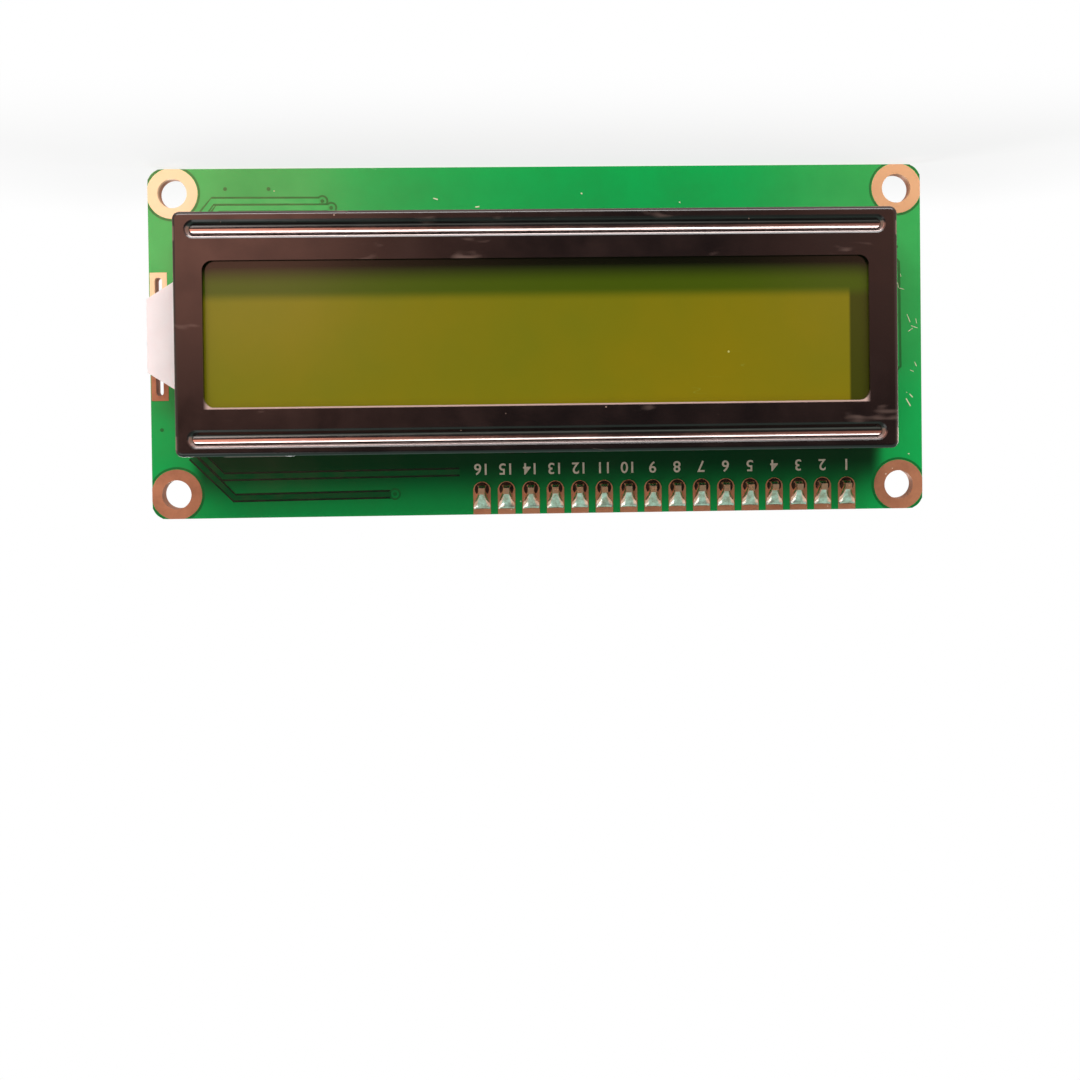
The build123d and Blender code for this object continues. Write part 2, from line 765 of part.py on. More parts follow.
# Contrast trimmer: a moulded cap, open at the bottom, with engraved ticks round its rotor.
trimmer_front = adapter_back + trimmer_standoff
trimmer_top = adapter_back + trimmer_height
rotor_ceiling = trimmer_top - trimmer_top_wall
cavity_width = trimmer_width - 2 * trimmer_wall
cavity_length = trimmer_length - 2 * trimmer_wall
tick_radius = rotor_radius + tick_gap + tick_length / 2
with BuildPart() as trimmer_body:
    with BuildSketch(at_depth(trimmer_front)):
        with Locations((trimmer_x, trimmer_z)):
            Rectangle(trimmer_width, trimmer_length)
    extrude(amount=-(trimmer_top - trimmer_front), taper=trimmer_draft)
    with BuildSketch(at_depth(trimmer_front)):
        with Locations((trimmer_x, trimmer_z)):
            Rectangle(cavity_width, cavity_length)
    extrude(amount=-(rotor_ceiling - trimmer_front), mode=Mode.SUBTRACT)
    with BuildSketch(at_depth(trimmer_top)):
        with Locations((trimmer_x, trimmer_z)):
            Circle(rotor_radius + rotor_gap)
    extrude(amount=2 * trimmer_top_wall, mode=Mode.SUBTRACT)
    with BuildSketch(at_depth(trimmer_top)):
        with Locations((trimmer_x, trimmer_z - trimmer_length / 2)):
            Rectangle(trimmer_width, 2 * trimmer_ledge_width)
    extrude(amount=trimmer_ledge_depth, mode=Mode.SUBTRACT)
    with BuildSketch(at_depth(trimmer_top)):
        with Locations((trimmer_x, trimmer_z)):
            for n in range(tick_count):
                tick_angle = 90 + (n - (tick_count - 1) / 2) * tick_step
                with PolarLocations(tick_radius, 1, start_angle=tick_angle):
                    Rectangle(tick_length, tick_width)
    extrude(amount=tick_depth, mode=Mode.SUBTRACT)

trimmer_body.part.label = "trimmer_body"
export_step(trimmer_body.part, "parts/trimmer_body.step")

# Ceramic base that closes the trimmer, with a recess for the rotor's hub.
base_top = trimmer_front + trimmer_base_height
with BuildPart() as trimmer_base:
    with BuildSketch(at_depth(trimmer_front)):
        with Locations((trimmer_x, trimmer_z)):
            Rectangle(cavity_width, cavity_length)
    extrude(amount=-trimmer_base_height)

trimmer_base.part.label = "trimmer_base"
export_step(trimmer_base.part, "parts/trimmer_base.step")

# Rotor: a hub on the base, a flange under the cap, and a head with a cross slot in the cap's hole.
rotor_top = trimmer_top - rotor_recess
rotor_flange_radius = cavity_length / 2 - rotor_flange_gap
rotor_slot_length = 2 * (rotor_radius - rotor_slot_inset)
with BuildPart() as trimmer_rotor:
    with BuildSketch(at_depth(base_top + rotor_gap)):
        with Locations((trimmer_x, trimmer_z)):
            Circle(rotor_hub_radius)
    extrude(amount=-(rotor_top - base_top - rotor_gap))
    with BuildSketch(at_depth(rotor_ceiling - rotor_gap)):
        with Locations((trimmer_x, trimmer_z)):
            Circle(rotor_flange_radius)
    extrude(amount=rotor_flange_height)
    with BuildSketch(at_depth(rotor_ceiling - rotor_gap)):
        with Locations((trimmer_x, trimmer_z)):
            Circle(rotor_radius)
    extrude(amount=-(rotor_top - rotor_ceiling + rotor_gap))
    with BuildSketch(at_depth(rotor_top)):
        with Locations((trimmer_x, trimmer_z)):
            Rectangle(rotor_slot_length, rotor_slot_width)
            Rectangle(rotor_slot_width, rotor_slot_length)
    extrude(amount=rotor_slot_depth, mode=Mode.SUBTRACT)

trimmer_rotor.part.label = "trimmer_rotor"
export_step(trimmer_rotor.part, "parts/trimmer_rotor.step")

# Three trimmer pins, from the base through the adapter.
with BuildPart() as trimmer_pins:
    with BuildSketch(at_depth(trimmer_front)):
        with Locations(*trimmer_pin_places):
            Rectangle(trimmer_pin_size, trimmer_pin_size)
    extrude(amount=trimmer_front - adapter_front + tail_reach)

trimmer_pins.part.label = "trimmer_pins"
export_step(trimmer_pins.part, "parts/trimmer_pins.step")

# Angled headers: each block lies flush with the adapter's edge, and its pins leave the top of the
# block and turn outwards over the edge.
pin_level_y = adapter_back + block_height + pin_level
cap_start_x = adapter_side + cap_gap
cap_end_x = cap_start_x + cap_length
jumper_pin_end_x = cap_end_x + jumper_pin_overhang


def bent_pins(x, rows, end_x):
    """Square pins with one rounded bend, from the front of the adapter to their tips at end_x."""
    with BuildPart() as pins:
        for row in rows:
            with BuildSketch(Plane.XY.offset(row)):
                with BuildLine():
                    FilletPolyline((x, adapter_front - tail_reach), (x, pin_level_y), (end_x, pin_level_y),
                                   radius=pin_bend)
                trace(line_width=pin_size)
            extrude(amount=pin_size / 2, both=True)
        tips = pins.faces().filter_by(Axis.X).group_by(Axis.X)[0 if end_x < x else -1]
        chamfer([edge for tip in tips for edge in tip.edges()], pin_tip_chamfer)
    return pins


bus_block = notched_block(bus_count, block_width, block_height, bus_x, bus_z, adapter_back, True)
bus_block.part.label = "bus_header_block"
export_step(bus_block.part, "parts/bus_header_block.step")

bus_pins = bent_pins(bus_x, bus_rows, bus_x - bus_pin_reach)
bus_pins.part.label = "bus_header_pins"
export_step(bus_pins.part, "parts/bus_header_pins.step")

jumper_block = notched_block(jumper_count, block_width, block_height, jumper_x, jumper_z, adapter_back,
                             True)
jumper_block.part.label = "jumper_header_block"
export_step(jumper_block.part, "parts/jumper_header_block.step")

jumper_pins = bent_pins(jumper_x, jumper_rows, jumper_pin_end_x)
jumper_pins.part.label = "jumper_header_pins"
export_step(jumper_pins.part, "parts/jumper_header_pins.step")

# Jumper cap: two tunnels for the pins, a rounded notch at its free end, and room for the clip on
# the outer side of the pins.
pin_half = pin_size / 2
cap_bore = pin_size + 2 * cap_bore_gap
cap_width = jumper_count * pin_pitch - cap_width_play
cap_back = pin_level_y + cap_thickness / 2
clip_front = pin_level_y + pin_half + clip_gap
clip_start_x = cap_end_x - clip_from_end - clip_length
clip_end_x = cap_end_x - clip_from_end
clip_bridge_x = clip_end_x - clip_width / 2
tunnel_front = pin_level_y - cap_bore / 2
tunnel_back = clip_front + clip_thickness + clip_gap
with BuildPart() as jumper_cap:
    with BuildSketch(at_depth(cap_back)):
        with Locations((cap_start_x + cap_length / 2, jumper_z)):
            RectangleRounded(cap_length, cap_width, 0.25)
        with Locations((cap_end_x, jumper_z)):
            SlotOverall(2 * cap_notch_depth, cap_notch_width, mode=Mode.SUBTRACT)
    extrude(amount=cap_thickness)
    with BuildSketch(at_depth(tunnel_front)):
        with Locations(*[(cap_start_x + cap_length / 2, z) for z in jumper_rows]):
            Rectangle(2 * cap_length, cap_bore)
    extrude(amount=-(tunnel_back - tunnel_front), mode=Mode.SUBTRACT)
    with BuildSketch(at_depth(clip_front - clip_gap)):
        with Locations((clip_bridge_x, jumper_z)):
            Rectangle(clip_width + 2 * clip_gap, pin_pitch)
    extrude(amount=-(clip_thickness + 2 * clip_gap), mode=Mode.SUBTRACT)

jumper_cap.part.label = "jumper_cap"
export_step(jumper_cap.part, "parts/jumper_cap.step")

# Clip inside the cap: two fingers along the pins, joined by the strip that shows in the notch.
clip_finger_width = cap_bore - 2 * clip_gap
with BuildPart() as jumper_clip:
    with BuildSketch(at_depth(clip_front)):
        with Locations(*[((clip_start_x + clip_end_x) / 2, z) for z in jumper_rows]):
            Rectangle(clip_length, clip_finger_width)
        with Locations((clip_bridge_x, jumper_z)):
            Rectangle(clip_width, pin_pitch)
    extrude(amount=-clip_thickness)

jumper_clip.part.label = "jumper_clip"
export_step(jumper_clip.part, "parts/jumper_clip.step")


def chip_part(place, length, width, thickness, seat, upright):
    """Flat ceramic part with its long side along X or, if upright, along Z."""
    with BuildPart() as piece:
        with BuildSketch(at_depth(seat)):
            with Locations(place):
                Rectangle(length, width, rotation=90 if upright else 0)
        extrude(amount=-thickness)
    return piece


# Chip resistors and the capacitor on the adapter.
upper_columns = [transistor_from_side + upper_step + n * column_pitch for n in range(2)]
resistor_places = [(10, (columns[1], lower_row), True), (8, (columns[2], lower_row), True),
                   (9, (columns[3], lower_row), True), (7, (upper_columns[0], upper_row), True)]
resistor_places += [(6 - n, (lying_start + n * lying_pitch, lying_row), False) for n in range(3)]
for number, place, upright in resistor_places:
    resistor = chip_part(on_adapter(place), chip_part_length, chip_part_width, resistor_thickness,
                         adapter_back, upright)
    resistor.part.label = f"adapter_resistor_{number}"
    export_step(resistor.part, f"parts/adapter_resistor_{number}.step")

capacitor = chip_part(on_adapter((upper_columns[1], upper_row)), chip_part_length, chip_part_width,
                      capacitor_thickness, adapter_back, True)
capacitor.part.label = "adapter_capacitor"
export_step(capacitor.part, "parts/adapter_capacitor.step")

# Power lamp: a flat base with a clear block cast on its middle.
lamp_x, lamp_z = on_adapter((columns[0], lower_row))
lamp_base_height = power_led_height / 2
with BuildPart() as power_led:
    with BuildSketch(at_depth(adapter_back)):
        with Locations((lamp_x, lamp_z)):
            Rectangle(chip_part_width, chip_part_length)
    extrude(amount=-lamp_base_height)
    with BuildSketch(at_depth(adapter_back + lamp_base_height)):
        with Locations((lamp_x, lamp_z)):
            Rectangle(chip_part_width, power_lens_length)
    extrude(amount=-(power_led_height - lamp_base_height), taper=chip_draft)

power_led.part.label = "power_led"
export_step(power_led.part, "parts/power_led.step")

# Transistor: a small drafted body with one lead above it and two below.
switch_x, switch_z = on_adapter((transistor_from_side, upper_row))
switch_middle = adapter_back + transistor_standoff + (transistor_height - transistor_standoff) / 2
with BuildPart() as transistor_body:
    for direction in (-1, 1):
        with BuildSketch(at_depth(switch_middle)):
            with Locations((switch_x, switch_z)):
                Rectangle(transistor_length, transistor_width)
        extrude(amount=direction * (transistor_height - transistor_standoff) / 2, taper=chip_draft)

transistor_body.part.label = "transistor_body"
export_step(transistor_body.part, "parts/transistor_body.step")

half_strip = transistor_lead_thickness / 2
switch_seat = adapter_back + half_strip
lead_out = (transistor_span - transistor_width) / 2
with BuildPart() as transistor_leads:
    for lead_x, side in ((0, 1), (-transistor_lead_spread / 2, -1), (transistor_lead_spread / 2, -1)):
        lead_start = switch_z + side * transistor_width / 2
        with BuildSketch(Plane.YZ.offset(switch_x + lead_x)):
            with BuildLine():
                Polyline((switch_middle, lead_start), (switch_middle, lead_start + side * lead_out * 0.3),
                         (switch_seat, lead_start + side * lead_out * 0.5),
                         (switch_seat, lead_start + side * lead_out))
            trace(line_width=transistor_lead_thickness)
        extrude(amount=transistor_lead_width / 2, both=True)

transistor_leads.part.label = "transistor_leads"
export_step(transistor_leads.part, "parts/transistor_leads.step")

# Chip resistors on the back of the main board.
limit_resistor = chip_part(limit_resistor_place, limit_resistor_length, limit_resistor_width,
                           resistor_thickness, board_thickness, False)
limit_resistor.part.label = "limit_resistor"
export_step(limit_resistor.part, "parts/limit_resistor.step")

feedback_resistor = chip_part(feedback_place, chip_part_length, chip_part_width, resistor_thickness,
                              board_thickness, False)
feedback_resistor.part.label = "feedback_resistor"
export_step(feedback_resistor.part, "parts/feedback_resistor.step")

for number, place in enumerate(board_resistor_places, 1):
    resistor = chip_part(place, chip_part_length, chip_part_width, resistor_thickness, board_thickness,
                         False)
    resistor.part.label = f"board_resistor_{number}"
    export_step(resistor.part, f"parts/board_resistor_{number}.step")

# Resin domes over the two driver dies, and the solder that closes one link.
for blob_side, (blob_x, blob_z) in blob_places.items():
    with BuildPart() as driver_blob:
        blob_top = board_thickness + blob_height
        with BuildSketch(Plane.XY.offset(blob_z)):
            with BuildLine():
                Polyline((blob_x, board_thickness), (blob_x + blob_radius, board_thickness),
                         (blob_x + blob_radius - blob_edge, board_thickness + 0.6 * blob_height),
                         (blob_x + blob_radius - 2.5 * blob_edge, board_thickness + 0.9 * blob_height),
                         (blob_x + blob_radius - 6 * blob_edge, blob_top), (blob_x, blob_top), close=True)
            make_face()
        revolve(axis=Axis((blob_x, 0, blob_z), (0, 1, 0)))
    driver_blob.part.label = f"driver_blob_{blob_side}"
    export_step(driver_blob.part, f"parts/driver_blob_{blob_side}.step")

bridge_dome = dome(bridge_radius, bridge_height)
with BuildPart() as solder_bridge:
    with Locations((bridge_place[0], board_thickness, bridge_place[1])):
        add(bridge_dome.part)

solder_bridge.part.label = "solder_bridge"
export_step(solder_bridge.part, "parts/solder_bridge.step")
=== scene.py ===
import bpy
import bmesh
import math
from mathutils import Matrix, Vector


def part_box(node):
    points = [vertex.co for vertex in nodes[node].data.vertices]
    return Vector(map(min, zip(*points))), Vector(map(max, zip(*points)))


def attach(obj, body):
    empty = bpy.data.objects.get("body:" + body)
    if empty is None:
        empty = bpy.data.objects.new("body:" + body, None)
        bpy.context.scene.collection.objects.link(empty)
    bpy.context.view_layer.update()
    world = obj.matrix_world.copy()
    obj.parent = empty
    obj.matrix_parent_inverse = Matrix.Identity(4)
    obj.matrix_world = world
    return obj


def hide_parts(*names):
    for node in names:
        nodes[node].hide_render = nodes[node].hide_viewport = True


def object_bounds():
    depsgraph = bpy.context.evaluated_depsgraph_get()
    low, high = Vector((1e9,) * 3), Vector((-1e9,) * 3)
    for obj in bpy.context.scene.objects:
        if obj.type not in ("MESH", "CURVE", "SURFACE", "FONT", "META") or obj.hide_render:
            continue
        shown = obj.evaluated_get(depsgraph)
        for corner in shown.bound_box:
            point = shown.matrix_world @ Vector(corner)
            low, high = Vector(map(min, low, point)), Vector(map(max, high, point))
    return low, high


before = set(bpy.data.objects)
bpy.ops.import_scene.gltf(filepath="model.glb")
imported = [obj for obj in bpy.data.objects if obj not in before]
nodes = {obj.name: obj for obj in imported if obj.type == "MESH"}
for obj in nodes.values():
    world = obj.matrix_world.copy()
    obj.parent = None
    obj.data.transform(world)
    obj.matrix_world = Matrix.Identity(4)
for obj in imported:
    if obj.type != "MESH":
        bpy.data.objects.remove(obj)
cad_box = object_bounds()


# The room round the module, which is white where it is seen directly or through glass. In gloss it is
# dark in front of and behind the module, so that black paint stays black, with a warm window low on
# each side and a pale table below.
def srgb(red, green, blue):
    """Linear colour of a screen colour given from 0 to 255."""
    return tuple(((c / 255 + 0.055) / 1.055) ** 2.4 if c > 10 else c / 255 / 12.92
                 for c in (red, green, blue)) + (1.0,)


def join(start, end):
    """Link from one socket to another."""
    start.id_data.links.new(start, end)


def add_node(tree, kind, **values):
    """A new node: each value goes to the setting or input of its name, and a socket is linked there."""
    node = tree.nodes.new(kind)
    for key, value in values.items():
        label = key.replace("_", " ")
        if label not in node.inputs:
            setattr(node, key, value)
        elif isinstance(value, bpy.types.NodeSocket):
            join(value, node.inputs[label])
        else:
            node.inputs[label].default_value = value
    return node


def ramp(source, start, end):
    """Value that rises smoothly from 0 to 1 as the source goes from start to end."""
    low, high = (0.0, 1.0) if start < end else (1.0, 0.0)
    return add_node(source.id_data, "ShaderNodeMapRange", interpolation_type="SMOOTHSTEP", Value=source,
                    From_Min=min(start, end), From_Max=max(start, end), To_Min=low,
                    To_Max=high).outputs["Result"]


def combine(operation, *values):
    """Result of a sum on values that are each a socket or a number."""
    tree = next(v for v in values if isinstance(v, bpy.types.NodeSocket)).id_data
    node = add_node(tree, "ShaderNodeMath", operation=operation)
    for place, value in enumerate(values):
        if isinstance(value, bpy.types.NodeSocket):
            join(value, node.inputs[place])
        else:
            node.inputs[place].default_value = value
    return node.outputs[0]


def product(first, *others):
    """All the values multiplied with each other."""
    for other in others:
        first = combine("MULTIPLY", first, other)
    return first


def layer_colour(factor, below, above):
    """Colour that goes from below to above, each a socket or a colour, as the factor rises."""
    return add_node(factor.id_data, "ShaderNodeMix", data_type="RGBA", Factor=factor, A=below,
                    B=above).outputs["Result"]


def mix_shaders(factor, first, second):
    """Shader node that goes from the first to the second as the factor rises."""
    node = add_node(factor.id_data, "ShaderNodeMixShader", Fac=factor)
    join(first.outputs[0], node.inputs[1])
    join(second.outputs[0], node.inputs[2])
    return node


white = (1.0, 1.0, 1.0, 1.0)
wall_white, wall_warm = (1.0, 0.96, 0.92, 1.0), (1.0, 0.72, 0.58, 1.0)
ceiling_green = (0.46, 0.74, 0.63, 1.0)
viewer_dark, rear_grey = (0.05, 0.05, 0.05, 1.0), (0.30, 0.27, 0.25, 1.0)
window_glow, table_glow = (3.8, 1.7, 1.25, 1.0), (1.5, 1.18, 1.1, 1.0)
ambient_strength = 0.36
world = bpy.data.worlds.new("studio")
world.use_nodes = True
bpy.context.scene.world = world
room = world.node_tree
room.nodes.clear()
room_rays = add_node(room, "ShaderNodeLightPath").outputs
room_way = add_node(room, "ShaderNodeTexCoord").outputs["Generated"]
room_x, room_y, room_z = add_node(room, "ShaderNodeSeparateXYZ", Vector=room_way).outputs
room_window = 0.0
for start, end, strength in ((0.128, 0.15, 1.0), (-0.03, 0.15, 0.24), (-0.155, -0.19, 0.34)):
    room_window = combine("MAXIMUM", room_window, product(ramp(room_x, start, end), strength))
room_window = product(room_window, ramp(room_z, 0.03, -0.07), ramp(room_y, -0.5, -0.8))
room_colour = layer_colour(ramp(combine("ABSOLUTE", room_x), 0.45, 0.8), wall_white, wall_warm)
room_colour = layer_colour(ramp(room_z, 0.3, 0.65), room_colour, ceiling_green)
room_behind = layer_colour(ramp(room_y, -0.1, 0.1), viewer_dark, rear_grey)
room_colour = layer_colour(ramp(combine("ABSOLUTE", room_y), 0.55, 0.93), room_colour, room_behind)
room_colour = layer_colour(room_window, room_colour, window_glow)
room_colour = layer_colour(ramp(room_z, -0.5, -0.85), room_colour, table_glow)
room_ambient = add_node(room, "ShaderNodeBackground", Color=white, Strength=ambient_strength)
room_gloss = add_node(room, "ShaderNodeBackground", Color=room_colour, Strength=1.0)
room_white = add_node(room, "ShaderNodeBackground", Color=white, Strength=1.0)
room_seen = combine("MAXIMUM", room_rays["Is Camera Ray"], room_rays["Is Transmission Ray"])
room_light = mix_shaders(room_rays["Is Glossy Ray"], room_ambient, room_gloss)
room_light = mix_shaders(room_seen, room_light, room_white)
add_node(room, "ShaderNodeOutputWorld", Surface=room_light.outputs[0])

# The table: one wide pale sheet a hair below the board's lower edge. Close to the module it keeps the
# contact shadow, and further off it is as white as the room.
floor_gap, floor_size = 0.0002, 3.0
floor_matte, contact_white = 0.93, 0.82
floor_shape = bmesh.new()
bmesh.ops.create_grid(floor_shape, x_segments=1, y_segments=1, size=floor_size,
                      matrix=Matrix.Translation((0, 0, cad_box[0].z - floor_gap)))
floor_mesh = bpy.data.meshes.new("floor")
floor_shape.to_mesh(floor_mesh)
floor_shape.free()
floor = bpy.data.objects.new("floor", floor_mesh)
bpy.context.collection.objects.link(floor)
floor.visible_glossy = False
floor_paint = bpy.data.materials.new("floor_paint")
floor_paint.use_nodes = True
ground = floor_paint.node_tree
ground.nodes.clear()
ground_rays = add_node(ground, "ShaderNodeLightPath").outputs
ground_place = add_node(ground, "ShaderNodeTexCoord").outputs["Object"]
ground_reach = add_node(ground, "ShaderNodeVectorMath", operation="LENGTH", Vector=ground_place)
ground_depth = add_node(ground, "ShaderNodeSeparateXYZ", Vector=ground_place).outputs["Y"]
ground_far = combine("MAXIMUM", ramp(ground_reach.outputs["Value"], 0.045, 0.08),
                     ramp(combine("ABSOLUTE", ground_depth), 0.006, 0.05))
ground_white = combine("ADD", product(ground_far, 1.0 - contact_white), contact_white)
ground_matte = add_node(ground, "ShaderNodeBsdfDiffuse", Color=(floor_matte, floor_matte, floor_matte, 1.0))
ground_glow = add_node(ground, "ShaderNodeEmission", Color=white, Strength=1.0)
ground_clear = add_node(ground, "ShaderNodeBsdfTransparent")
ground_tone = mix_shaders(product(ground_rays["Is Camera Ray"], ground_white), ground_matte, ground_glow)
ground_pass = mix_shaders(ground_rays["Is Shadow Ray"], ground_tone, ground_clear)
add_node(ground, "ShaderNodeOutputMaterial", Surface=ground_pass.outputs[0])
floor_mesh.materials.append(floor_paint)


# Four soft lamps: two in front of the screen, the low one long and flat, and two behind the module for
# the parts on its back.
def lamp(name, place, width, height, power):
    """Soft lamp that faces the module, with its width level."""
    data = bpy.data.lights.new(name, "AREA")
    data.shape = "RECTANGLE"
    data.size = width
    data.size_y = height
    data.energy = power
    light = bpy.data.objects.new(name, data)
    light.location = place
    light.rotation_euler = (-Vector(place)).to_track_quat("-Z", "Y").to_euler()
    bpy.context.collection.objects.link(light)


lamp("lamp_front_low", (-0.02, -0.26, -0.30), 0.55, 0.11, 2.15)
lamp("lamp_front_high", (0.24, -0.42, 0.30), 0.25, 0.25, 0.36)
lamp("lamp_back", (0.20, 0.42, 0.32), 0.30, 0.18, 1.30)
lamp("lamp_back_side", (-0.40, 0.30, 0.12), 0.20, 0.20, 0.55)

# The camera stands in front of the screen and is rolled over, as in the picture, so that the pin row
# along the upper edge of the board is below.
camera_data = bpy.data.cameras.new("camera")
camera_data.lens = 48.83
camera_data.sensor_width = 36.0
camera_data.shift_x = -0.0485
camera_data.shift_y = -0.1337
camera_data.clip_start = 0.01
camera_data.clip_end = 20.0
camera = bpy.data.objects.new("camera", camera_data)
camera.location = (-0.00032, -0.15227, 0.00348)
camera.rotation_euler = (math.radians(-90.871), math.radians(-0.6728), math.radians(-178.0468))
bpy.context.collection.objects.link(camera)
bpy.context.scene.camera = camera
bpy.context.scene.view_settings.view_transform = "Standard"


# Frame over the glass: thin steel sheet, pressed into a tray with two grooves, and held by six tabs that
# are twisted behind the board. Its glossy black paint has dust, scratches and smudges and is thin in the
# grooves, and a painted highlight runs along the window's upper edge.
def shader_group(name, inputs, outputs):
    """Empty node group with the named sockets, its inner inputs and its outputs."""
    group = bpy.data.node_groups.new(name, "ShaderNodeTree")
    for label, kind, value in inputs:
        socket = group.interface.new_socket(label, in_out="INPUT", socket_type="NodeSocket" + kind)
        if value is not None:
            socket.default_value = value
    for label, kind in outputs:
        group.interface.new_socket(label, in_out="OUTPUT", socket_type="NodeSocket" + kind)
    return group, group.nodes.new("NodeGroupInput").outputs, group.nodes.new("NodeGroupOutput").inputs


# Cloudy change of colour and height, as in paint, mask, plastic and tarnished metal.
mottle, given, result = shader_group(
    "mottle", (("Vector", "Vector", None), ("Base", "Color", None), ("Tint", "Color", None),
               ("Scale", "Float", 500.0), ("Amount", "Float", 0.5)),
    (("Color", "Color"), ("Height", "Float")))
cloud_noise = add_node(mottle, "ShaderNodeTexNoise", Vector=given["Vector"], Scale=given["Scale"], Detail=4.0,
                       Roughness=0.6).outputs["Fac"]
cloud_share = add_node(mottle, "ShaderNodeMapRange", Value=cloud_noise, From_Min=0.36, From_Max=0.66)
cloud_part = product(cloud_share.outputs["Result"], given["Amount"])
join(layer_colour(cloud_part, given["Base"], given["Tint"]), result["Color"])
join(cloud_noise, result["Height"])

# Scattered grains of dust, each in its own cell, with only some of the cells filled.
dust, given, result = shader_group(
    "dust", (("Vector", "Vector", None), ("Scale", "Float", 900.0), ("Size", "Float", 0.12),
             ("Share", "Float", 0.2)), (("Mask", "Float"),))
dust_cells = add_node(dust, "ShaderNodeTexVoronoi", Vector=given["Vector"], Scale=given["Scale"],
                      Randomness=1.0).outputs
dust_pick = add_node(dust, "ShaderNodeSeparateColor", Color=dust_cells["Color"]).outputs["Red"]
join(product(combine("LESS_THAN", dust_cells["Distance"], given["Size"]),
             combine("LESS_THAN", dust_pick, given["Share"])), result["Mask"])

# Hairline scratches: thin level lines of a noise that is stretched along one direction.
scratch, given, result = shader_group(
    "scratch", (("Vector", "Vector", None), ("Scale", "Float", 120.0), ("Share", "Float", 0.5)),
    (("Mask", "Float"),))
scratch_turn = add_node(scratch, "ShaderNodeMapping", Vector=given["Vector"], Rotation=(0.0, 0.7, 0.0),
                        Scale=(0.12, 1.0, 1.6))
scratch_noise = add_node(scratch, "ShaderNodeTexNoise", Vector=scratch_turn.outputs["Vector"],
                         Scale=given["Scale"], Detail=1.0, Roughness=0.4)
scratch_fade = add_node(scratch, "ShaderNodeTexNoise", Vector=given["Vector"], Scale=70.0, Detail=1.0)
scratch_line = combine("COMPARE", scratch_noise.outputs["Fac"], 0.5, 0.0022)
join(product(scratch_line, combine("LESS_THAN", scratch_fade.outputs["Fac"], given["Share"])), result["Mask"])


def finish(name, base, tint, scale=700.0, amount=0.5, rough=(0.35, 0.5), bump=0.15, depth=2e-5,
           specks=None, scratches=None, **sockets):
    """Material with a clouded colour, a roughness that follows it, a fine bump, and on request
    specks (colour, scale, size, share) and scratches (colour, scale, share)."""
    material = bpy.data.materials.new(name)
    material.use_nodes = True
    tree = material.node_tree
    surface = tree.nodes["Principled BSDF"].inputs
    for key, value in sockets.items():
        surface[key.replace("_", " ")].default_value = value
    place = add_node(tree, "ShaderNodeTexCoord").outputs["Object"]
    cloud = add_node(tree, "ShaderNodeGroup", node_tree=mottle, Vector=place, Base=srgb(*base),
                     Tint=srgb(*tint), Scale=scale, Amount=amount).outputs
    colour = cloud["Color"]
    if specks:
        tone, fineness, size, share = specks
        grains = add_node(tree, "ShaderNodeGroup", node_tree=dust, Vector=place, Scale=fineness, Size=size,
                          Share=share)
        colour = layer_colour(grains.outputs["Mask"], colour, srgb(*tone))
    if scratches:
        tone, fineness, share = scratches
        lines = add_node(tree, "ShaderNodeGroup", node_tree=scratch, Vector=place, Scale=fineness,
                         Share=share)
        colour = layer_colour(lines.outputs["Mask"], colour, srgb(*tone))
    join(colour, surface["Base Color"])
    gloss = add_node(tree, "ShaderNodeMapRange", Value=cloud["Height"], From_Min=0.3, From_Max=0.7,
                     To_Min=rough[0], To_Max=rough[1])
    join(gloss.outputs["Result"], surface["Roughness"])
    relief = add_node(tree, "ShaderNodeBump", Strength=bump, Distance=depth, Height=cloud["Height"])
    join(relief.outputs["Normal"], surface["Normal"])
    return material


def dress(material, *names):
    """Give a material to whole CAD nodes."""
    for name in names:
        mesh = nodes[name].data
        mesh.materials.clear()
        mesh.materials.append(material)


def object_axes(material):
    """X, Y and Z of the Object coordinates in a material."""
    place = add_node(material.node_tree, "ShaderNodeTexCoord").outputs["Object"]
    return add_node(material.node_tree, "ShaderNodeSeparateXYZ", Vector=place).outputs


def paint_over(material, factor, colour):
    """Lay a colour over what a material shows so far, where the factor is above 0."""
    base = material.node_tree.nodes["Principled BSDF"].inputs["Base Color"]
    join(layer_colour(factor, base.links[0].from_socket, colour), base)


bezel_paint = finish("bezel_paint", (18, 12, 12), (26, 18, 17), scale=260.0, rough=(0.14, 0.24),
                     bump=0.2, depth=1e-5, specks=((140, 116, 104), 900.0, 0.075, 0.07),
                     scratches=((84, 70, 64), 420.0, 0.36), Specular_IOR_Level=0.5)
bezel_tree = bezel_paint.node_tree
bezel_surface = bezel_tree.nodes["Principled BSDF"].inputs
bezel_x, bezel_y, bezel_z = object_axes(bezel_paint)
smudge_place = add_node(bezel_tree, "ShaderNodeTexCoord").outputs["Object"]
smudge_stretch = add_node(bezel_tree, "ShaderNodeMapping", Vector=smudge_place, Location=(0.31, 0.0, 0.17),
                          Scale=(0.45, 1.0, 1.5))
smudge_noise = add_node(bezel_tree, "ShaderNodeTexNoise", Vector=smudge_stretch.outputs["Vector"],
                        Scale=210.0, Detail=3.0, Roughness=0.7)
paint_over(bezel_paint, product(ramp(smudge_noise.outputs["Fac"], 0.64, 0.76), 0.5), srgb(120, 98, 90))
window_low, window_high, window_left, window_right = -8.05e-3, 6.45e-3, -33.02e-3, 33.02e-3
# Painted highlight along the window's upper edge, on the front of the frame.
window_edge_highlight = product(ramp(bezel_z, window_high + 0.2e-3, window_high + 0.08e-3),
                 ramp(bezel_z, window_high - 1e-3, window_high - 0.9e-3),
                 ramp(combine("ABSOLUTE", bezel_x), window_right + 0.1e-3, window_right - 0.5e-3),
                 ramp(bezel_y, -6.3e-3, -6.4e-3))
paint_over(bezel_paint, window_edge_highlight, srgb(196, 164, 154))
groove_half = 0.4e-3
groove_floors, groove_sides = [], []
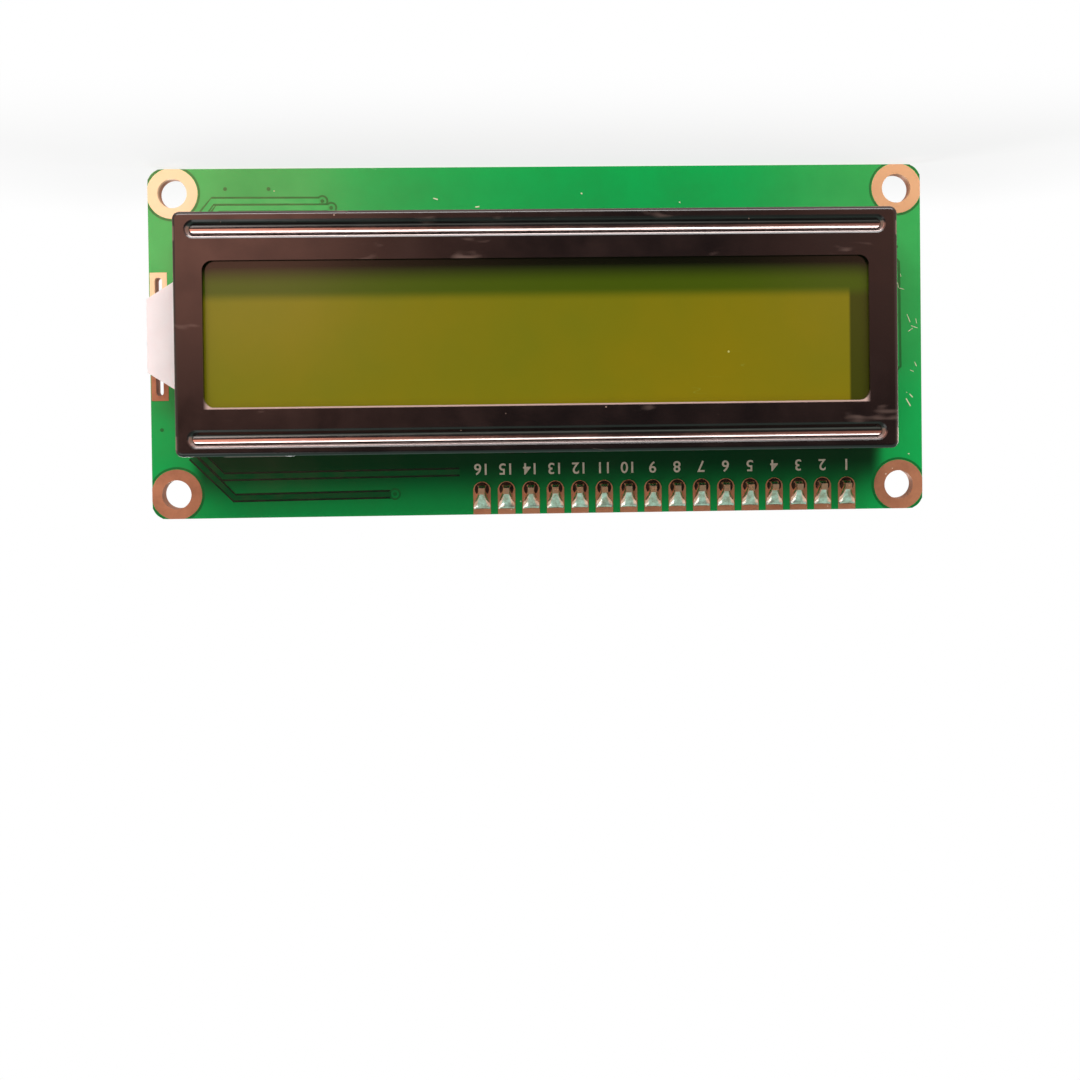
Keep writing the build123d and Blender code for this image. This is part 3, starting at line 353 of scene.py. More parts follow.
for groove_z in (-11.15e-3, 9.55e-3):
    away = combine("SUBTRACT", bezel_z, groove_z)
    inside = combine("DIVIDE", away, groove_half)
    groove_floors.append(combine("MINIMUM", product(inside, inside), 1.0))
    groove_sides.append(combine("ABSOLUTE", combine("SUBTRACT", away, groove_half)))
groove_thin = product(ramp(combine("MINIMUM", *groove_sides), 0.8e-3, 0.6e-3),
                      ramp(bezel_y, -6.97e-3, -6.9e-3))
join(groove_thin, bezel_surface["Metallic"])
paint_over(bezel_paint, groove_thin, (0.22, 0.18, 0.17, 1.0))
groove_dip = product(combine("SUBTRACT", combine("MINIMUM", *groove_floors), 1.0),
                     ramp(bezel_y, -6.68e-3, -6.62e-3))
groove_curve = add_node(bezel_tree, "ShaderNodeBump", Strength=1.0, Distance=0.11e-3, Height=groove_dip,
                        Normal=bezel_surface["Normal"].links[0].from_socket)
join(groove_curve.outputs["Normal"], bezel_surface["Normal"])
dress(bezel_paint, "bezel")

# Display cell behind the window: two panes of glass between two films, the front one glossy. It looks
# olive over its reflector, and darker along the two sides where the frame shades the deep reflector.
# Two strips of rubber press the glass to the contacts of the board.
screen_film = finish("screen_film", (124, 110, 10), (108, 107, 12), scale=38.0, amount=0.9,
                     rough=(0.12, 0.18), bump=0.05, depth=3e-6, specks=((190, 184, 110), 420.0, 0.045, 0.07),
                     scratches=((126, 122, 34), 420.0, 0.30), Specular_IOR_Level=0.30)
screen_x, screen_y, screen_z = object_axes(screen_film)
paint_over(screen_film, ramp(screen_x, window_left + 2.0e-3, window_left + 1.7e-3), srgb(56, 60, 8))
paint_over(screen_film, ramp(screen_z, window_low + 4.3e-3, window_low + 3.0e-3), srgb(62, 78, 6))
paint_over(screen_film, ramp(screen_z, window_low + 2.6e-3, window_low + 0.4e-3), srgb(20, 26, 8))
dress(screen_film, "front_polarizer")
dress(finish("cell_glass", (196, 205, 150), (180, 192, 140), scale=300.0, amount=0.3, rough=(0.04, 0.10),
             bump=0.05, depth=2e-6, Transmission_Weight=0.6), "front_glass", "rear_glass")
dress(finish("rear_film", (150, 146, 90), (140, 134, 80), scale=400.0, rough=(0.3, 0.4)), "rear_polarizer")
dress(finish("strip_rubber", (176, 96, 98), (150, 80, 84), scale=1500.0, rough=(0.5, 0.7)),
      "contact_strip_upper", "contact_strip_lower")

# Backlight between glass and board: a white moulded housing, whose tongue leaves the frame on the right
# with the lamp inside, a clear light guide, and a white film on each side of the guide. The housing lets
# some light through and looks pinkish.
dress(finish("white_film", (232, 232, 226), (222, 222, 214), scale=900.0, rough=(0.5, 0.65)),
      "diffuser_sheet", "reflector_sheet")
dress(finish("housing_plastic", (250, 232, 230), (244, 222, 220), scale=320.0, rough=(0.32, 0.48), bump=0.12,
             specks=((205, 180, 172), 700.0, 0.07, 0.10), Subsurface_Weight=0.25,
             Subsurface_Radius=(0.002, 0.001, 0.001), Subsurface_Scale=1.0), "backlight_housing")
dress(finish("guide_plastic", (236, 240, 236), (226, 232, 228), scale=500.0, amount=0.3, rough=(0.06, 0.14),
             Transmission_Weight=0.8), "light_guide")
lamp_resin = finish("lamp_resin", (240, 238, 226), (228, 226, 206), scale=1400.0, rough=(0.14, 0.26),
                    Coat_Weight=0.4)
dress(lamp_resin, "backlight_led")


# Main board: glass-fibre laminate with copper under a glossy green mask. The cut edges and the hole
# walls show the bare laminate, and beside the pin row the mask has a painted shadow of the frame.
def board_finish(name, base, tint, edge, edge_tint, **settings):
    """Mask on the two faces of a board and bare laminate on its edges, told apart by the normal."""
    material = finish(name, base, tint, **settings)
    place = add_node(material.node_tree, "ShaderNodeTexCoord").outputs
    facing = add_node(material.node_tree, "ShaderNodeSeparateXYZ", Vector=place["Normal"]).outputs["Y"]
    weave = add_node(material.node_tree, "ShaderNodeGroup", node_tree=mottle, Vector=place["Object"],
                     Base=srgb(*edge), Tint=srgb(*edge_tint), Scale=2600.0, Amount=0.8)
    paint_over(material, ramp(combine("ABSOLUTE", facing), 0.6, 0.4), weave.outputs["Color"])
    return material


green_mask = board_finish("green_mask", (20, 168, 80), (14, 150, 68), (150, 168, 110), (104, 132, 70),
                          scale=120.0, amount=0.6, rough=(0.10, 0.20), bump=0.2, depth=1.5e-5,
                          specks=((216, 220, 180), 520.0, 0.05, 0.10),
                          scratches=((120, 190, 130), 360.0, 0.30), Specular_IOR_Level=0.5)
green_x, green_y, green_z = object_axes(green_mask)
# Painted shadow of the frame on the mask beside the pin row, darkest next to the frame.
frame_shadow_painted = product(ramp(green_z, 9.0e-3, 11.5e-3), ramp(green_z, 17.8e-3, 12.6e-3),
                     ramp(green_y, 0.8e-3, 0.4e-3), ramp(combine("ABSOLUTE", green_x), 36.4e-3, 34.4e-3))
paint_over(green_mask, frame_shadow_painted, srgb(3, 66, 30))
dress(green_mask, "lcd_board")

# Bare copper of the main board: the linings of the corner holes, the slotted pads beside the tongue, the
# pads of the pin row and the patches at the tabs. It is plated and etched, brown with tarnish, and the
# linings and slotted pads have a painted pale glare on the front, along the lower edge, paler towards +X.
copper_tarnished = finish("copper_tarnished", (202, 152, 116), (164, 112, 82), scale=420.0, amount=0.8,
                          rough=(0.34, 0.52), bump=0.3, depth=1.5e-5, Metallic=0.45,
                          specks=((240, 212, 188), 1300.0, 0.13, 0.16))
dress(copper_tarnished, "header_pads")
copper_rings = finish("copper_rings", (190, 130, 96), (152, 100, 72), scale=420.0, amount=0.8,
                      rough=(0.32, 0.50), bump=0.3, depth=1.5e-5, Metallic=0.3,
                      specks=((240, 212, 188), 1300.0, 0.11, 0.12))
ring_x, ring_y, ring_z = object_axes(copper_rings)
# Painted glare on the front of the lower linings and slotted pads, paler towards +X.
glare_colour_painted = layer_colour(ramp(ring_x, -10e-3, 10e-3), srgb(224, 176, 130), srgb(244, 218, 176))
painted_glare = product(ramp(ring_z, 1e-3, -3e-3), ramp(ring_y, 0.9e-3, 0.1e-3), 0.92)
paint_over(copper_rings, painted_glare, glare_colour_painted)
dress(copper_rings, "corner_eyelets", "side_pads")
copper_brown = finish("copper_brown", (150, 78, 46), (118, 58, 34), scale=500.0, amount=0.8,
                      rough=(0.34, 0.5), bump=0.25, depth=1.5e-5, Metallic=0.55,
                      specks=((216, 176, 148), 1500.0, 0.12, 0.14))
dress(copper_brown, "tab_pads")


# Front tracks: copper under the mask, with a thin dark line cut on each side. Two pairs leave the frame
# near the right-hand corners and end in small plated holes. A ring is cut round each corner lining.
def in_metres(x, y, z):
    """Point given in millimetres."""
    return Vector((x / 1000, y / 1000, z / 1000))


def upright(x, y, z):
    """Matrix that stands a flat shape up, facing the viewer, at a point in millimetres."""
    return Matrix.Translation(in_metres(x, y, z)) @ Matrix.Rotation(math.radians(90), 4, "X")


def faces_out(shape):
    """Turn all faces outwards."""
    bmesh.ops.recalc_face_normals(shape, faces=list(shape.faces))


def thicken(shape, faces, rise):
    """Pull flat faces out along the depth axis, by a rise in millimetres."""
    raised = bmesh.ops.extrude_face_region(shape, geom=faces)["geom"]
    bmesh.ops.translate(shape, verts=[v for v in raised if isinstance(v, bmesh.types.BMVert)],
                        vec=in_metres(0, rise, 0))


def make_piece(shape, name, material, bevel=0.0, segments=2, sharp=40.0):
    """Bevel, shade and declare a finished bmesh as one piece of the module."""
    if bevel:
        bmesh.ops.bevel(shape, geom=list(shape.edges), offset=bevel / 1000, offset_type="OFFSET",
                        segments=segments, profile=0.5, affect="EDGES", clamp_overlap=True, material=-1)
    mesh = bpy.data.meshes.new(name)
    shape.to_mesh(mesh)
    shape.free()
    for face in mesh.polygons:
        face.use_smooth = True
    mesh.set_sharp_from_angle(angle=math.radians(sharp))
    mesh.materials.append(material)
    piece = bpy.data.objects.new(name, mesh)
    bpy.context.collection.objects.link(piece)
    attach(piece, "module")
    return piece


board_front, board_back, adapter_back = 0.0, 1.6, 5.74


def layer_on(face, low, high):
    """Foot and top, in millimetres, of a layer between two heights over a face, in thousandths."""
    way = -1 if face == board_front else 1
    return face + way * low / 1000, face + way * high / 1000


def strip_into(shape, route, width, level, rise):
    """Flat mitred strip along a route of X and Z, standing from a level to a rise, in millimetres."""
    sharpest = 0.35
    points = [Vector((x, z)) for x, z in route]
    rungs = []
    for place, here in enumerate(points):
        before = (here - points[place - 1]).normalized() if place else None
        after = (points[place + 1] - here).normalized() if place + 1 < len(points) else None
        way = ((before or after) + (after or before)).normalized()
        across = Vector((-way.y, way.x))
        mitre = across.dot(Vector((-(after or before).y, (after or before).x)))
        reach = width / 2 / max(sharpest, mitre)
        rungs.append([shape.verts.new(in_metres(here.x + side * across.x * reach, level,
                                                here.y + side * across.y * reach)) for side in (1, -1)])
    faces = [shape.faces.new((a[0], a[1], b[1], b[0])) for a, b in zip(rungs, rungs[1:])]
    thicken(shape, faces, rise - level)


def strips(name, routes, width, layer, material):
    """One piece made of many strips. Their tops differ a little, so that crossing strips don't flicker."""
    level, rise = layer
    shape = bmesh.new()
    for place, route in enumerate(routes):
        strip_into(shape, route, width, level, rise + (rise - level) * 0.04 * (place % 6))
    faces_out(shape)
    make_piece(shape, name, material)


def both_sides(routes, gap):
    """The two lines that lie beside each route, on both sides of a track."""
    lines = []
    for route in routes:
        for side in (1, -1):
            line = []
            for place, (x, z) in enumerate(route):
                last, following = route[max(place - 1, 0)], route[min(place + 1, len(route) - 1)]
                way = (Vector(following) - Vector(last)).normalized()
                line.append((x - side * way.y * gap, z + side * way.x * gap))
            lines.append(line)
    return lines


def disc_into(shape, x, z, radius, layer, inner=0.0, count=24):
    """Flat disc or ring in a layer, in millimetres."""
    level, rise = layer
    made = bmesh.ops.create_circle(shape, cap_ends=not inner, segments=count, radius=radius / 1000,
                                   matrix=upright(x, level, z))["verts"]
    if inner:
        made += bmesh.ops.create_circle(shape, cap_ends=False, segments=count, radius=inner / 1000,
                                        matrix=upright(x, level, z))["verts"]
        faces = bmesh.ops.bridge_loops(shape, edges=list({e for v in made for e in v.link_edges}))["faces"]
    else:
        faces = list({f for v in made for f in v.link_faces})
    thicken(shape, faces, rise - level)


def discs(name, places, radius, layer, material, inner=0.0, count=24):
    """One piece made of many discs or rings."""
    shape = bmesh.new()
    for x, z in places:
        disc_into(shape, x, z, radius, layer, inner, count)
    faces_out(shape)
    make_piece(shape, name, material)


green_dark = finish("green_dark", (8, 112, 50), (6, 98, 42), scale=900.0, rough=(0.14, 0.26))
# Darker copies of the two greens for the tracks beside the pin row: painted shade of the frame.
green_dark_painted_shade = finish("green_dark_painted_shade", (2, 46, 22), (2, 38, 18), scale=900.0, rough=(0.14, 0.26))
green_light = finish("green_light", (26, 176, 86), (18, 158, 74), scale=600.0, rough=(0.10, 0.22))
green_light_painted_shade = finish("green_light_painted_shade", (7, 92, 43), (5, 78, 36), scale=600.0, rough=(0.10, 0.22))
tracks_low = [[(34.4, -13.4), (33.4, -14.68), (22.5, -14.62)],
              [(33.3, -13.3), (32.9, -13.95), (21.6, -13.93)]]
tracks_high = [[(35.0, 11.4), (32.7, 13.72), (8.4, 13.55)], [(35.9, 11.6), (31.6, 15.92), (15.5, 15.76)]]
side_line = [(-37.0, -8.6), (-37.72, -7.8), (-37.8, 3.1), (-37.0, 3.9)]
front_vias = [(22.15, -14.62), (21.25, -13.92), (15.1, 15.75)]
front_dots = [(32.09, -15.93), (27.65, -15.9), (38.92, 8.8), (-37.45, -9.4)]
front_gap, front_copper = layer_on(board_front, 4, 16), layer_on(board_front, 4, 22)
strips("front_track_gaps", both_sides(tracks_low, 0.36), 0.2, front_gap, green_dark)
strips("front_track_gaps_high", both_sides(tracks_high, 0.36), 0.2, front_gap, green_dark_painted_shade)
strips("front_side_gap", [side_line], 0.26, front_gap, green_dark)
strips("front_tracks", tracks_low, 0.5, front_copper, green_light)
strips("front_tracks_high", tracks_high, 0.5, front_copper, green_light_painted_shade)
discs("front_via_rings", front_vias, 0.62, layer_on(board_front, 4, 20), green_dark,
      inner=0.42)
discs("front_via_holes", front_vias + front_dots, 0.2, layer_on(board_front, 4, 26), green_dark,
      count=12)
ring_outer, ring_inner = 2.86, 2.66
for name, face in (("front_ring_gaps", board_front), ("back_ring_gaps", board_back)):
    rings = bmesh.new()
    for x in (-37.5, 37.5):
        for z in (-15.5, 15.5):
            disc_into(rings, x, z, ring_outer, layer_on(face, 4, 14), inner=ring_inner, count=48)
    for board_end in (Vector((39.98, 0, 0)), Vector((0, 0, 17.98))):
        for side in (1, -1):
            end = side * board_end
            cut = bmesh.ops.bisect_plane(rings, geom=rings.verts[:] + rings.edges[:] + rings.faces[:],
                                         plane_co=end / 1000, plane_no=end.normalized(),
                                         clear_outer=True)["geom_cut"]
            bmesh.ops.holes_fill(rings, edges=[e for e in cut if isinstance(e, bmesh.types.BMEdge)], sides=0)
    faces_out(rings)
    make_piece(rings, name, green_dark)


# Flakes on the front: slivers of mask and lint, scraped off and left lying beside the frame, as thin
# pale boxes.
def box_into(shape, centre, size, turn=0.0):
    """A box given in millimetres, turned about the depth axis, added to a bmesh."""
    turned = Matrix.Rotation(math.radians(turn), 4, "Y")
    scaled = Matrix.Diagonal((size[0] / 1000, size[1] / 1000, size[2] / 1000, 1.0))
    return bmesh.ops.create_cube(shape, size=1.0,
                                 matrix=Matrix.Translation(in_metres(*centre)) @ turned @ scaled)["verts"]


flake_cream = finish("flake_cream", (226, 224, 190), (196, 206, 160), scale=1600.0, rough=(0.5, 0.7))
flake_level, flake_thick = board_front - 0.012, 0.02
flakes = bmesh.new()
for x, z, long, wide, turn in ((10.5, -14.75, 0.5, 0.12, 18), (6.2, -13.9, 0.4, 0.14, -8),
                               (-4.6, -15.2, 0.2, 0.1, 40), (-14.8, -14.2, 0.16, 0.12, 10),
                               (-38.7, -1.9, 0.9, 0.06, 68), (-39.3, -1.0, 0.7, 0.06, 20),
                               (-38.9, -0.7, 0.6, 0.05, -35), (-39.5, -1.6, 0.5, 0.06, 80),
                               (-39.4, 2.9, 0.5, 0.06, 65), (-39.0, 3.6, 0.4, 0.05, 25),
                               (-38.6, 6.9, 0.9, 0.12, 60), (-38.9, 6.2, 0.5, 0.1, 48),
                               (-37.6, -5.4, 0.6, 0.05, 75), (-38.0, -5.0, 0.5, 0.05, 15),
                               (-37.9, -6.4, 0.3, 0.05, 80), (-38.6, 12.3, 0.16, 0.1, 0),
                               (2.1, 16.7, 0.14, 0.1, 30), (20.3, -12.95, 0.3, 0.1, 5)):
    box_into(flakes, (x, flake_level, z), (long, flake_thick, wide), turn)
make_piece(flakes, "front_flakes", flake_cream)


# Pin numbers: printed on the front in a row beside the pins, 1 at the left and 16 at the right, in
# cream ink that lies on the mask.
def numbers(name, marks, layer, material, bold=0.02):
    """One piece of marks, each a text, X, Z, height and, where it isn't level, a turn in degrees."""
    level, rise = layer
    cap_height = 0.7
    shape = bmesh.new()
    facing = Matrix.Rotation(math.radians(90), 4, "X")
    if rise > level:
        facing = Matrix.Rotation(math.radians(180), 4, "Z") @ facing
    for text, x, z, height, *turn in marks:
        curve = bpy.data.curves.new(name, "FONT")
        curve.body = text
        curve.size = height / cap_height / 1000
        curve.align_x = "CENTER"
        curve.align_y = "CENTER"
        curve.offset = bold / 1000
        curve.resolution_u = 4
        curve.extrude = abs(rise - level) / 2000
        writing = bpy.data.objects.new(name, curve)
        bpy.context.collection.objects.link(writing)
        flat = bpy.data.meshes.new_from_object(writing.evaluated_get(bpy.context.evaluated_depsgraph_get()))
        flat.transform(Matrix.Translation(in_metres(x, (level + rise) / 2, z))
                       @ Matrix.Rotation(-math.radians(sum(turn)), 4, "Y") @ facing)
        shape.from_mesh(flat)
        bpy.data.objects.remove(writing)
        bpy.data.curves.remove(curve)
        bpy.data.meshes.remove(flat)
    bmesh.ops.remove_doubles(shape, verts=list(shape.verts), dist=1e-7)
    make_piece(shape, name, material)


silk_cream = finish("silk_cream", (226, 212, 190), (200, 184, 158), scale=1800.0, amount=0.8,
                    rough=(0.5, 0.7), bump=0.3, depth=1e-5)
pin_pitch, pin_first, pin_row = 2.54, -32.0, 15.5
pin_places = [(pin_first + pin_pitch * n, pin_row) for n in range(16)]
numbers("pin_numbers", [(str(n + 1), x, 13.25, 1.15) for n, (x, z) in enumerate(pin_places)],
        layer_on(board_front, 3, 22), silk_cream)


# Front of the pin row: square pins with a gold flash, soldered in heaps that slope from the pin down to
# the edge of the board. A dark disc round each pin on its pad is painted shade of the hole and a painted
# dark reflection of the pad.
def slope_into(shape, x, z, level, rows, columns=9):
    """Closed heap towards the viewer, from cross-sections (offset along Z, half width, rise)."""
    roundness = 2.6
    before = None
    for offset, wide, high in rows:
        steps = [2 * n / (columns - 1) - 1 for n in range(columns)]
        here = [shape.verts.new(in_metres(x + t * wide, level - high * (1 - abs(t) ** roundness), z + offset))
                for t in steps]
        if before is None:
            shape.faces.new(here)
        else:
            for n in range(columns - 1):
                shape.faces.new((before[n], before[n + 1], here[n + 1], here[n]))
            shape.faces.new((before[-1], before[0], here[0], here[-1]))
        before = here
    shape.faces.new(before[::-1])


pin_gold = finish("pin_gold", (238, 212, 176), (214, 172, 124), scale=900.0, amount=0.7, rough=(0.16, 0.30),
                  depth=8e-6, Metallic=0.6)
dress(pin_gold, "header_pins")
solder_bright = finish("solder_bright", (226, 222, 214), (170, 142, 122), scale=1500.0, amount=0.75,
                       rough=(0.10, 0.24), bump=0.6, depth=5e-5, Metallic=1.0,
                       specks=((96, 70, 52), 1500.0, 0.10, 0.10))
dress(solder_bright, "backlight_solder", "backlight_leads", "solder_bridge")
pin_hole_painted_shade = finish("pin_hole_painted_shade", (34, 30, 18), (58, 42, 24), scale=1600.0, amount=0.8, rough=(0.12, 0.26),
                   bump=0.4, depth=3e-5, specks=((150, 120, 90), 2200.0, 0.10, 0.12))
# Dark disc round each pin: painted shade of the hole and painted dark reflection of the pad.
discs("front_pin_painted_shade", [(x, z - 0.12) for x, z in pin_places], 0.74, layer_on(board_front, 45, 62), pin_hole_painted_shade,
      count=28)
pad_level = board_front - 0.05
heaps = bmesh.new()
for place, (x, z) in enumerate(pin_places):
    lean = 0.05 * math.sin(2.3 * place)
    full = 1.0 + 0.16 * math.sin(1.7 * place + 0.6)
    slope_into(heaps, x, z, pad_level,
               [(-0.62, 0.44, 0.05), (-0.54, 0.5, 0.4), (-0.44, 0.5, 0.9), (-0.32, 0.46, 1.15),
                (-0.12, 0.46, 1.22), (0.08, 0.48 + lean, 1.12), (0.36, 0.54 + lean, 0.92 * full),
                (0.7, 0.62 + lean, 0.68 * full), (1.05, 0.72, 0.46 * full), (1.4, 0.8, 0.26 * full),
                (1.7, 0.86, 0.12), (1.92, 0.84, 0.04)])
faces_out(heaps)
front_solder = make_piece(heaps, "front_solder", solder_bright, sharp=80.0)
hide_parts("header_solder_front")


# Back of the pin row: a black plastic spacer carries the adapter board, and each pin ends there in a
# full dome of solder with a film of amber flux round it.
def mound_into(shape, x, z, level, rings, count=20):
    """Closed mound away from the viewer, through rings of (rise, half width, half length)."""
    rise, wide, long = rings[0]
    foot = bmesh.ops.create_circle(shape, cap_ends=True, segments=count, radius=1.0,
                                   matrix=Matrix.Translation(in_metres(x, level + rise, z))
                                   @ Matrix.Diagonal((wide / 1000, 1.0, long / 1000, 1.0))
                                   @ Matrix.Rotation(math.radians(90), 4, "X"))["verts"]
    top = next(iter(set.intersection(*[set(v.link_faces) for v in foot[:3]])))
    for before, after in zip(rings, rings[1:]):
        raised = bmesh.ops.extrude_face_region(shape, geom=[top])["geom"]
        centre, moved = in_metres(x, level + before[0], z), in_metres(x, level + after[0], z)
        for corner in [v for v in raised if isinstance(v, bmesh.types.BMVert)]:
            offset = corner.co - centre
            corner.co = moved + Vector((offset.x * after[1] / before[1], 0.0,
                                        offset.z * after[2] / before[2]))
        top = next(f for f in raised if isinstance(f, bmesh.types.BMFace))


def domes(name, places, level, profile, material, count):
    """One piece made of many round domes, from a profile of (rise, radius)."""
    shape = bmesh.new()
    for x, z in places:
        mound_into(shape, x, z, level, [(rise, radius, radius) for rise, radius in profile], count)
    faces_out(shape)
    return make_piece(shape, name, material, sharp=70.0)


header_plastic = finish("header_plastic", (64, 55, 53), (44, 37, 36), scale=1100.0, amount=0.8,
                        rough=(0.42, 0.62), bump=0.35, depth=2.5e-5,
                        specks=((150, 132, 122), 1400.0, 0.09, 0.10))
dress(header_plastic, "header_spacer")
flux_amber = finish("flux_amber", (128, 88, 44), (60, 40, 22), scale=1600.0, amount=0.9, rough=(0.12, 0.3),
                    bump=0.4, depth=3e-5, specks=((226, 206, 176), 2200.0, 0.12, 0.14))
joint_dome = [(0.0, 1.03), (0.22, 1.02), (0.45, 0.95), (0.66, 0.82), (0.85, 0.62), (0.98, 0.40), (1.06, 0.2),
              (1.1, 0.06)]
back_solder = domes("back_solder", pin_places, adapter_back, joint_dome, solder_bright, count=24)
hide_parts("header_solder_back")
discs("solder_flux", pin_places, 1.2, layer_on(adapter_back, 2, 30), flux_amber)

# Back tracks of the main board: single wide tracks and bundles of fine ones under the mask, with cut
# lines beside them. The tracks end in small plated holes.
wide_routes = [[(34.8, 9.0), (34.8, -6.1), (33.6, -7.1), (33.6, -7.9)], [(34.9, -16.2), (-34.9, -16.2)],
               [(34.6, 16.7), (10.0, 16.7)],
               [(25.1, -0.85), (24.0, -2.0), (24.0, -13.6), (22.6, -15.0), (-20.0, -15.0)],
               [(36.4, 2.0), (36.4, 7.5), (34.9, 9.2), (24.4, 9.2), (22.6, 7.6), (22.6, 4.4)],
               [(-36.6, 10.2), (-36.6, -7.4), (-34.0, -9.8), (-23.4, -9.8)]]
thin_routes = [[(21.8 - 0.9 * (n % 2), -3.1 - 0.62 * n), (20.0, -3.1 - 0.62 * n),
                (18.2 - 0.1 * n, -6.2 - 0.3 * n), (3.4 + 0.15 * n, -6.2 - 0.3 * n),
                (1.0 + 0.15 * n, -8.6 - 0.3 * n)] for n in range(11)]
thin_routes += [[(18.0 - 0.42 * n, 11.0), (18.0 - 0.42 * n, 8.2 - 0.2 * n), (20.4 - 0.42 * n, 5.6 - 0.2 * n),
                 (20.4 - 0.42 * n, 1.4 + 0.3 * n)] for n in range(6)]
thin_routes += [[(7.2 - 0.62 * n, -12.4), (7.2 - 0.62 * n, -11.4), (8.6 - 0.62 * n, -10.0),
                 (8.6 - 0.62 * n, -9.2)] for n in range(5)]
thin_routes += [[(-16.3 - 0.2 * n, -13.6 + 0.32 * n), (-19.4 + 0.1 * n, -13.6 + 0.32 * n),
                 (-24.0, -9.2 + 0.32 * n), (-27.6, -9.2 + 0.32 * n)] for n in range(7)]
thin_routes += [[(-19.0 - 0.32 * n, -2.2), (-19.0 - 0.32 * n, -6.6 - 0.2 * n), (-21.4, -9.0 - 0.2 * n)]
                for n in range(4)]
strips("back_track_gaps", both_sides(wide_routes, 0.42), 0.2, layer_on(board_back, 4, 14), green_dark)
strips("back_tracks", wide_routes, 0.62, layer_on(board_back, 4, 22), green_light)
strips("back_fine_gaps", thin_routes, 0.14, layer_on(board_back, 4, 16), green_dark)
back_vias = [(21.9 - 0.9 * (n % 2), -3.1 - 0.62 * n) for n in range(11)]
back_vias += [(22.9, -13.3), (21.6, -13.3), (20.5, -13.2), (23.0, -14.4), (20.6, -14.3), (21.6, -15.5)]
back_vias += [(7.2 - 0.62 * n, -12.7) for n in range(5)] + [(18.0 - 0.42 * n, 11.3) for n in range(0, 6, 2)]
back_vias += [(-27.9, -9.2 + 0.32 * n) for n in range(0, 7, 2)]
back_vias += [(34.2, -9.0), (29.0, -5.1), (-35.5, 11.8), (28.6, 1.6)]
discs("back_via_rings", back_vias, 0.3, layer_on(board_back, 4, 24), green_light, inner=0.13,
      count=12)
discs("back_via_holes", back_vias, 0.13, layer_on(board_back, 4, 20), green_dark, count=10)


# Bare pads on the back: rectangles of brown copper for parts that are not fitted, and two round pads
# that are split down the middle, so that a drop of solder can join their halves.
def plates(name, rects, layer, material, bevel):
    """One piece of flat rectangles, each X, Z, width and height in millimetres."""
    level, rise = layer
    shape = bmesh.new()
    for x, z, wide, high in rects:
        box_into(shape, (x, (level + rise) / 2, z), (wide, abs(rise - level), high))
    make_piece(shape, name, material, bevel=bevel)


bare_pads = [(x, z, 2.2, 0.62) for x in (32.0, 26.15) for z in (3.1, 2.0, 0.7, -0.6)]
bare_pads += [(x, z, 1.7, 1.7) for x, z in ((31.3, -3.35), (27.7, -3.35), (31.2, -6.8), (27.7, -6.8))]
bare_pads += [(x, z, size, size) for z, size in ((-9.1, 1.0), (-11.2, 0.95)) for x in (35.3, 33.85)]
plates("bare_pads", bare_pads, layer_on(board_back, 3, 45), copper_brown, bevel=0.015)
link_row, link_radius, link_slit = 5.4, 1.1, 0.14
split_pads = bmesh.new()
for link_x in (29.05, 26.55):
    for side in (1, -1):
        half = bmesh.ops.create_circle(split_pads, cap_ends=True, segments=32, radius=link_radius / 1000,
                                       matrix=upright(link_x, board_back + 0.003, link_row))["verts"]
        parts = half + list({e for v in half for e in v.link_edges})
        parts += list({f for v in half for f in v.link_faces})
        kept = bmesh.ops.bisect_plane(split_pads, geom=parts, plane_no=(-side, 0, 0), clear_outer=True,
                                      plane_co=in_metres(link_x + side * link_slit, 0, 0))["geom"]
        thicken(split_pads, [g for g in kept if isinstance(g, bmesh.types.BMFace)], 0.04)
faces_out(split_pads)
make_piece(split_pads, "split_pads", copper_brown)


# Printing on the back of the main board: outlines round the places of parts and plain numbers, in
# white ink that lies on the mask.
def frame_route(x, z, wide, high):
    """Closed rectangle as four strips that overlap at its corners."""
    left, right, low, top = x - wide / 2, x + wide / 2, z - high / 2, z + high / 2
    corners = [(left, low), (right, low), (right, top), (left, top), (left, low)]
    return [[start, end] for start, end in zip(corners, corners[1:])]


def arc_route(x, z, radius, start, end, count=14):
    """Part of a circle, with angles in degrees from X towards Z."""
    steps = [math.radians(start + (end - start) * n / count) for n in range(count + 1)]
    return [(x + radius * math.cos(a), z + radius * math.sin(a)) for a in steps]


silk_white = finish("silk_white", (246, 238, 228), (228, 214, 200), scale=1800.0, amount=0.7,
                    rough=(0.45, 0.65), bump=0.3, depth=1e-5)
blob_left, blob_right = (-13.0, -2.0), (12.95, -0.35)
back_print = layer_on(board_back, 5, 28)
outlines = []
for place in ((29.48, -3.33, 6.35, 2.75), (29.45, -6.76, 6.3, 2.8), (34.58, -9.12, 3.25, 1.95),
              (34.53, -11.18, 3.35, 1.85), (28.92, 1.18, 2.95, 5.45), (19.95, 11.95, 6.3, 2.7),
              (-22.3, -4.9, 4.56, 2.25), (-30.8, -2.7, 4.75, 2.2), (-30.85, -4.95, 4.75, 2.2),
              (-30.85, -7.2, 4.75, 2.2)):
    outlines += frame_route(*place)
outlines += [arc_route(*blob_right, 5.95, 0, 360, 48), arc_route(*blob_left, 5.95, 0, 360, 48)]
outlines += [arc_route(x, link_row, 1.35, 0, 360, 24) for x in (31.63, 29.05, 26.55)]
outlines += [[(25.2, 4.35), (20.65, 4.35), (20.65, 6.45), (25.2, 6.45)],
             arc_route(28.92, 3.9, 0.6, 180, 360, 10)]
strips("back_outlines", outlines, 0.2, back_print, silk_white)
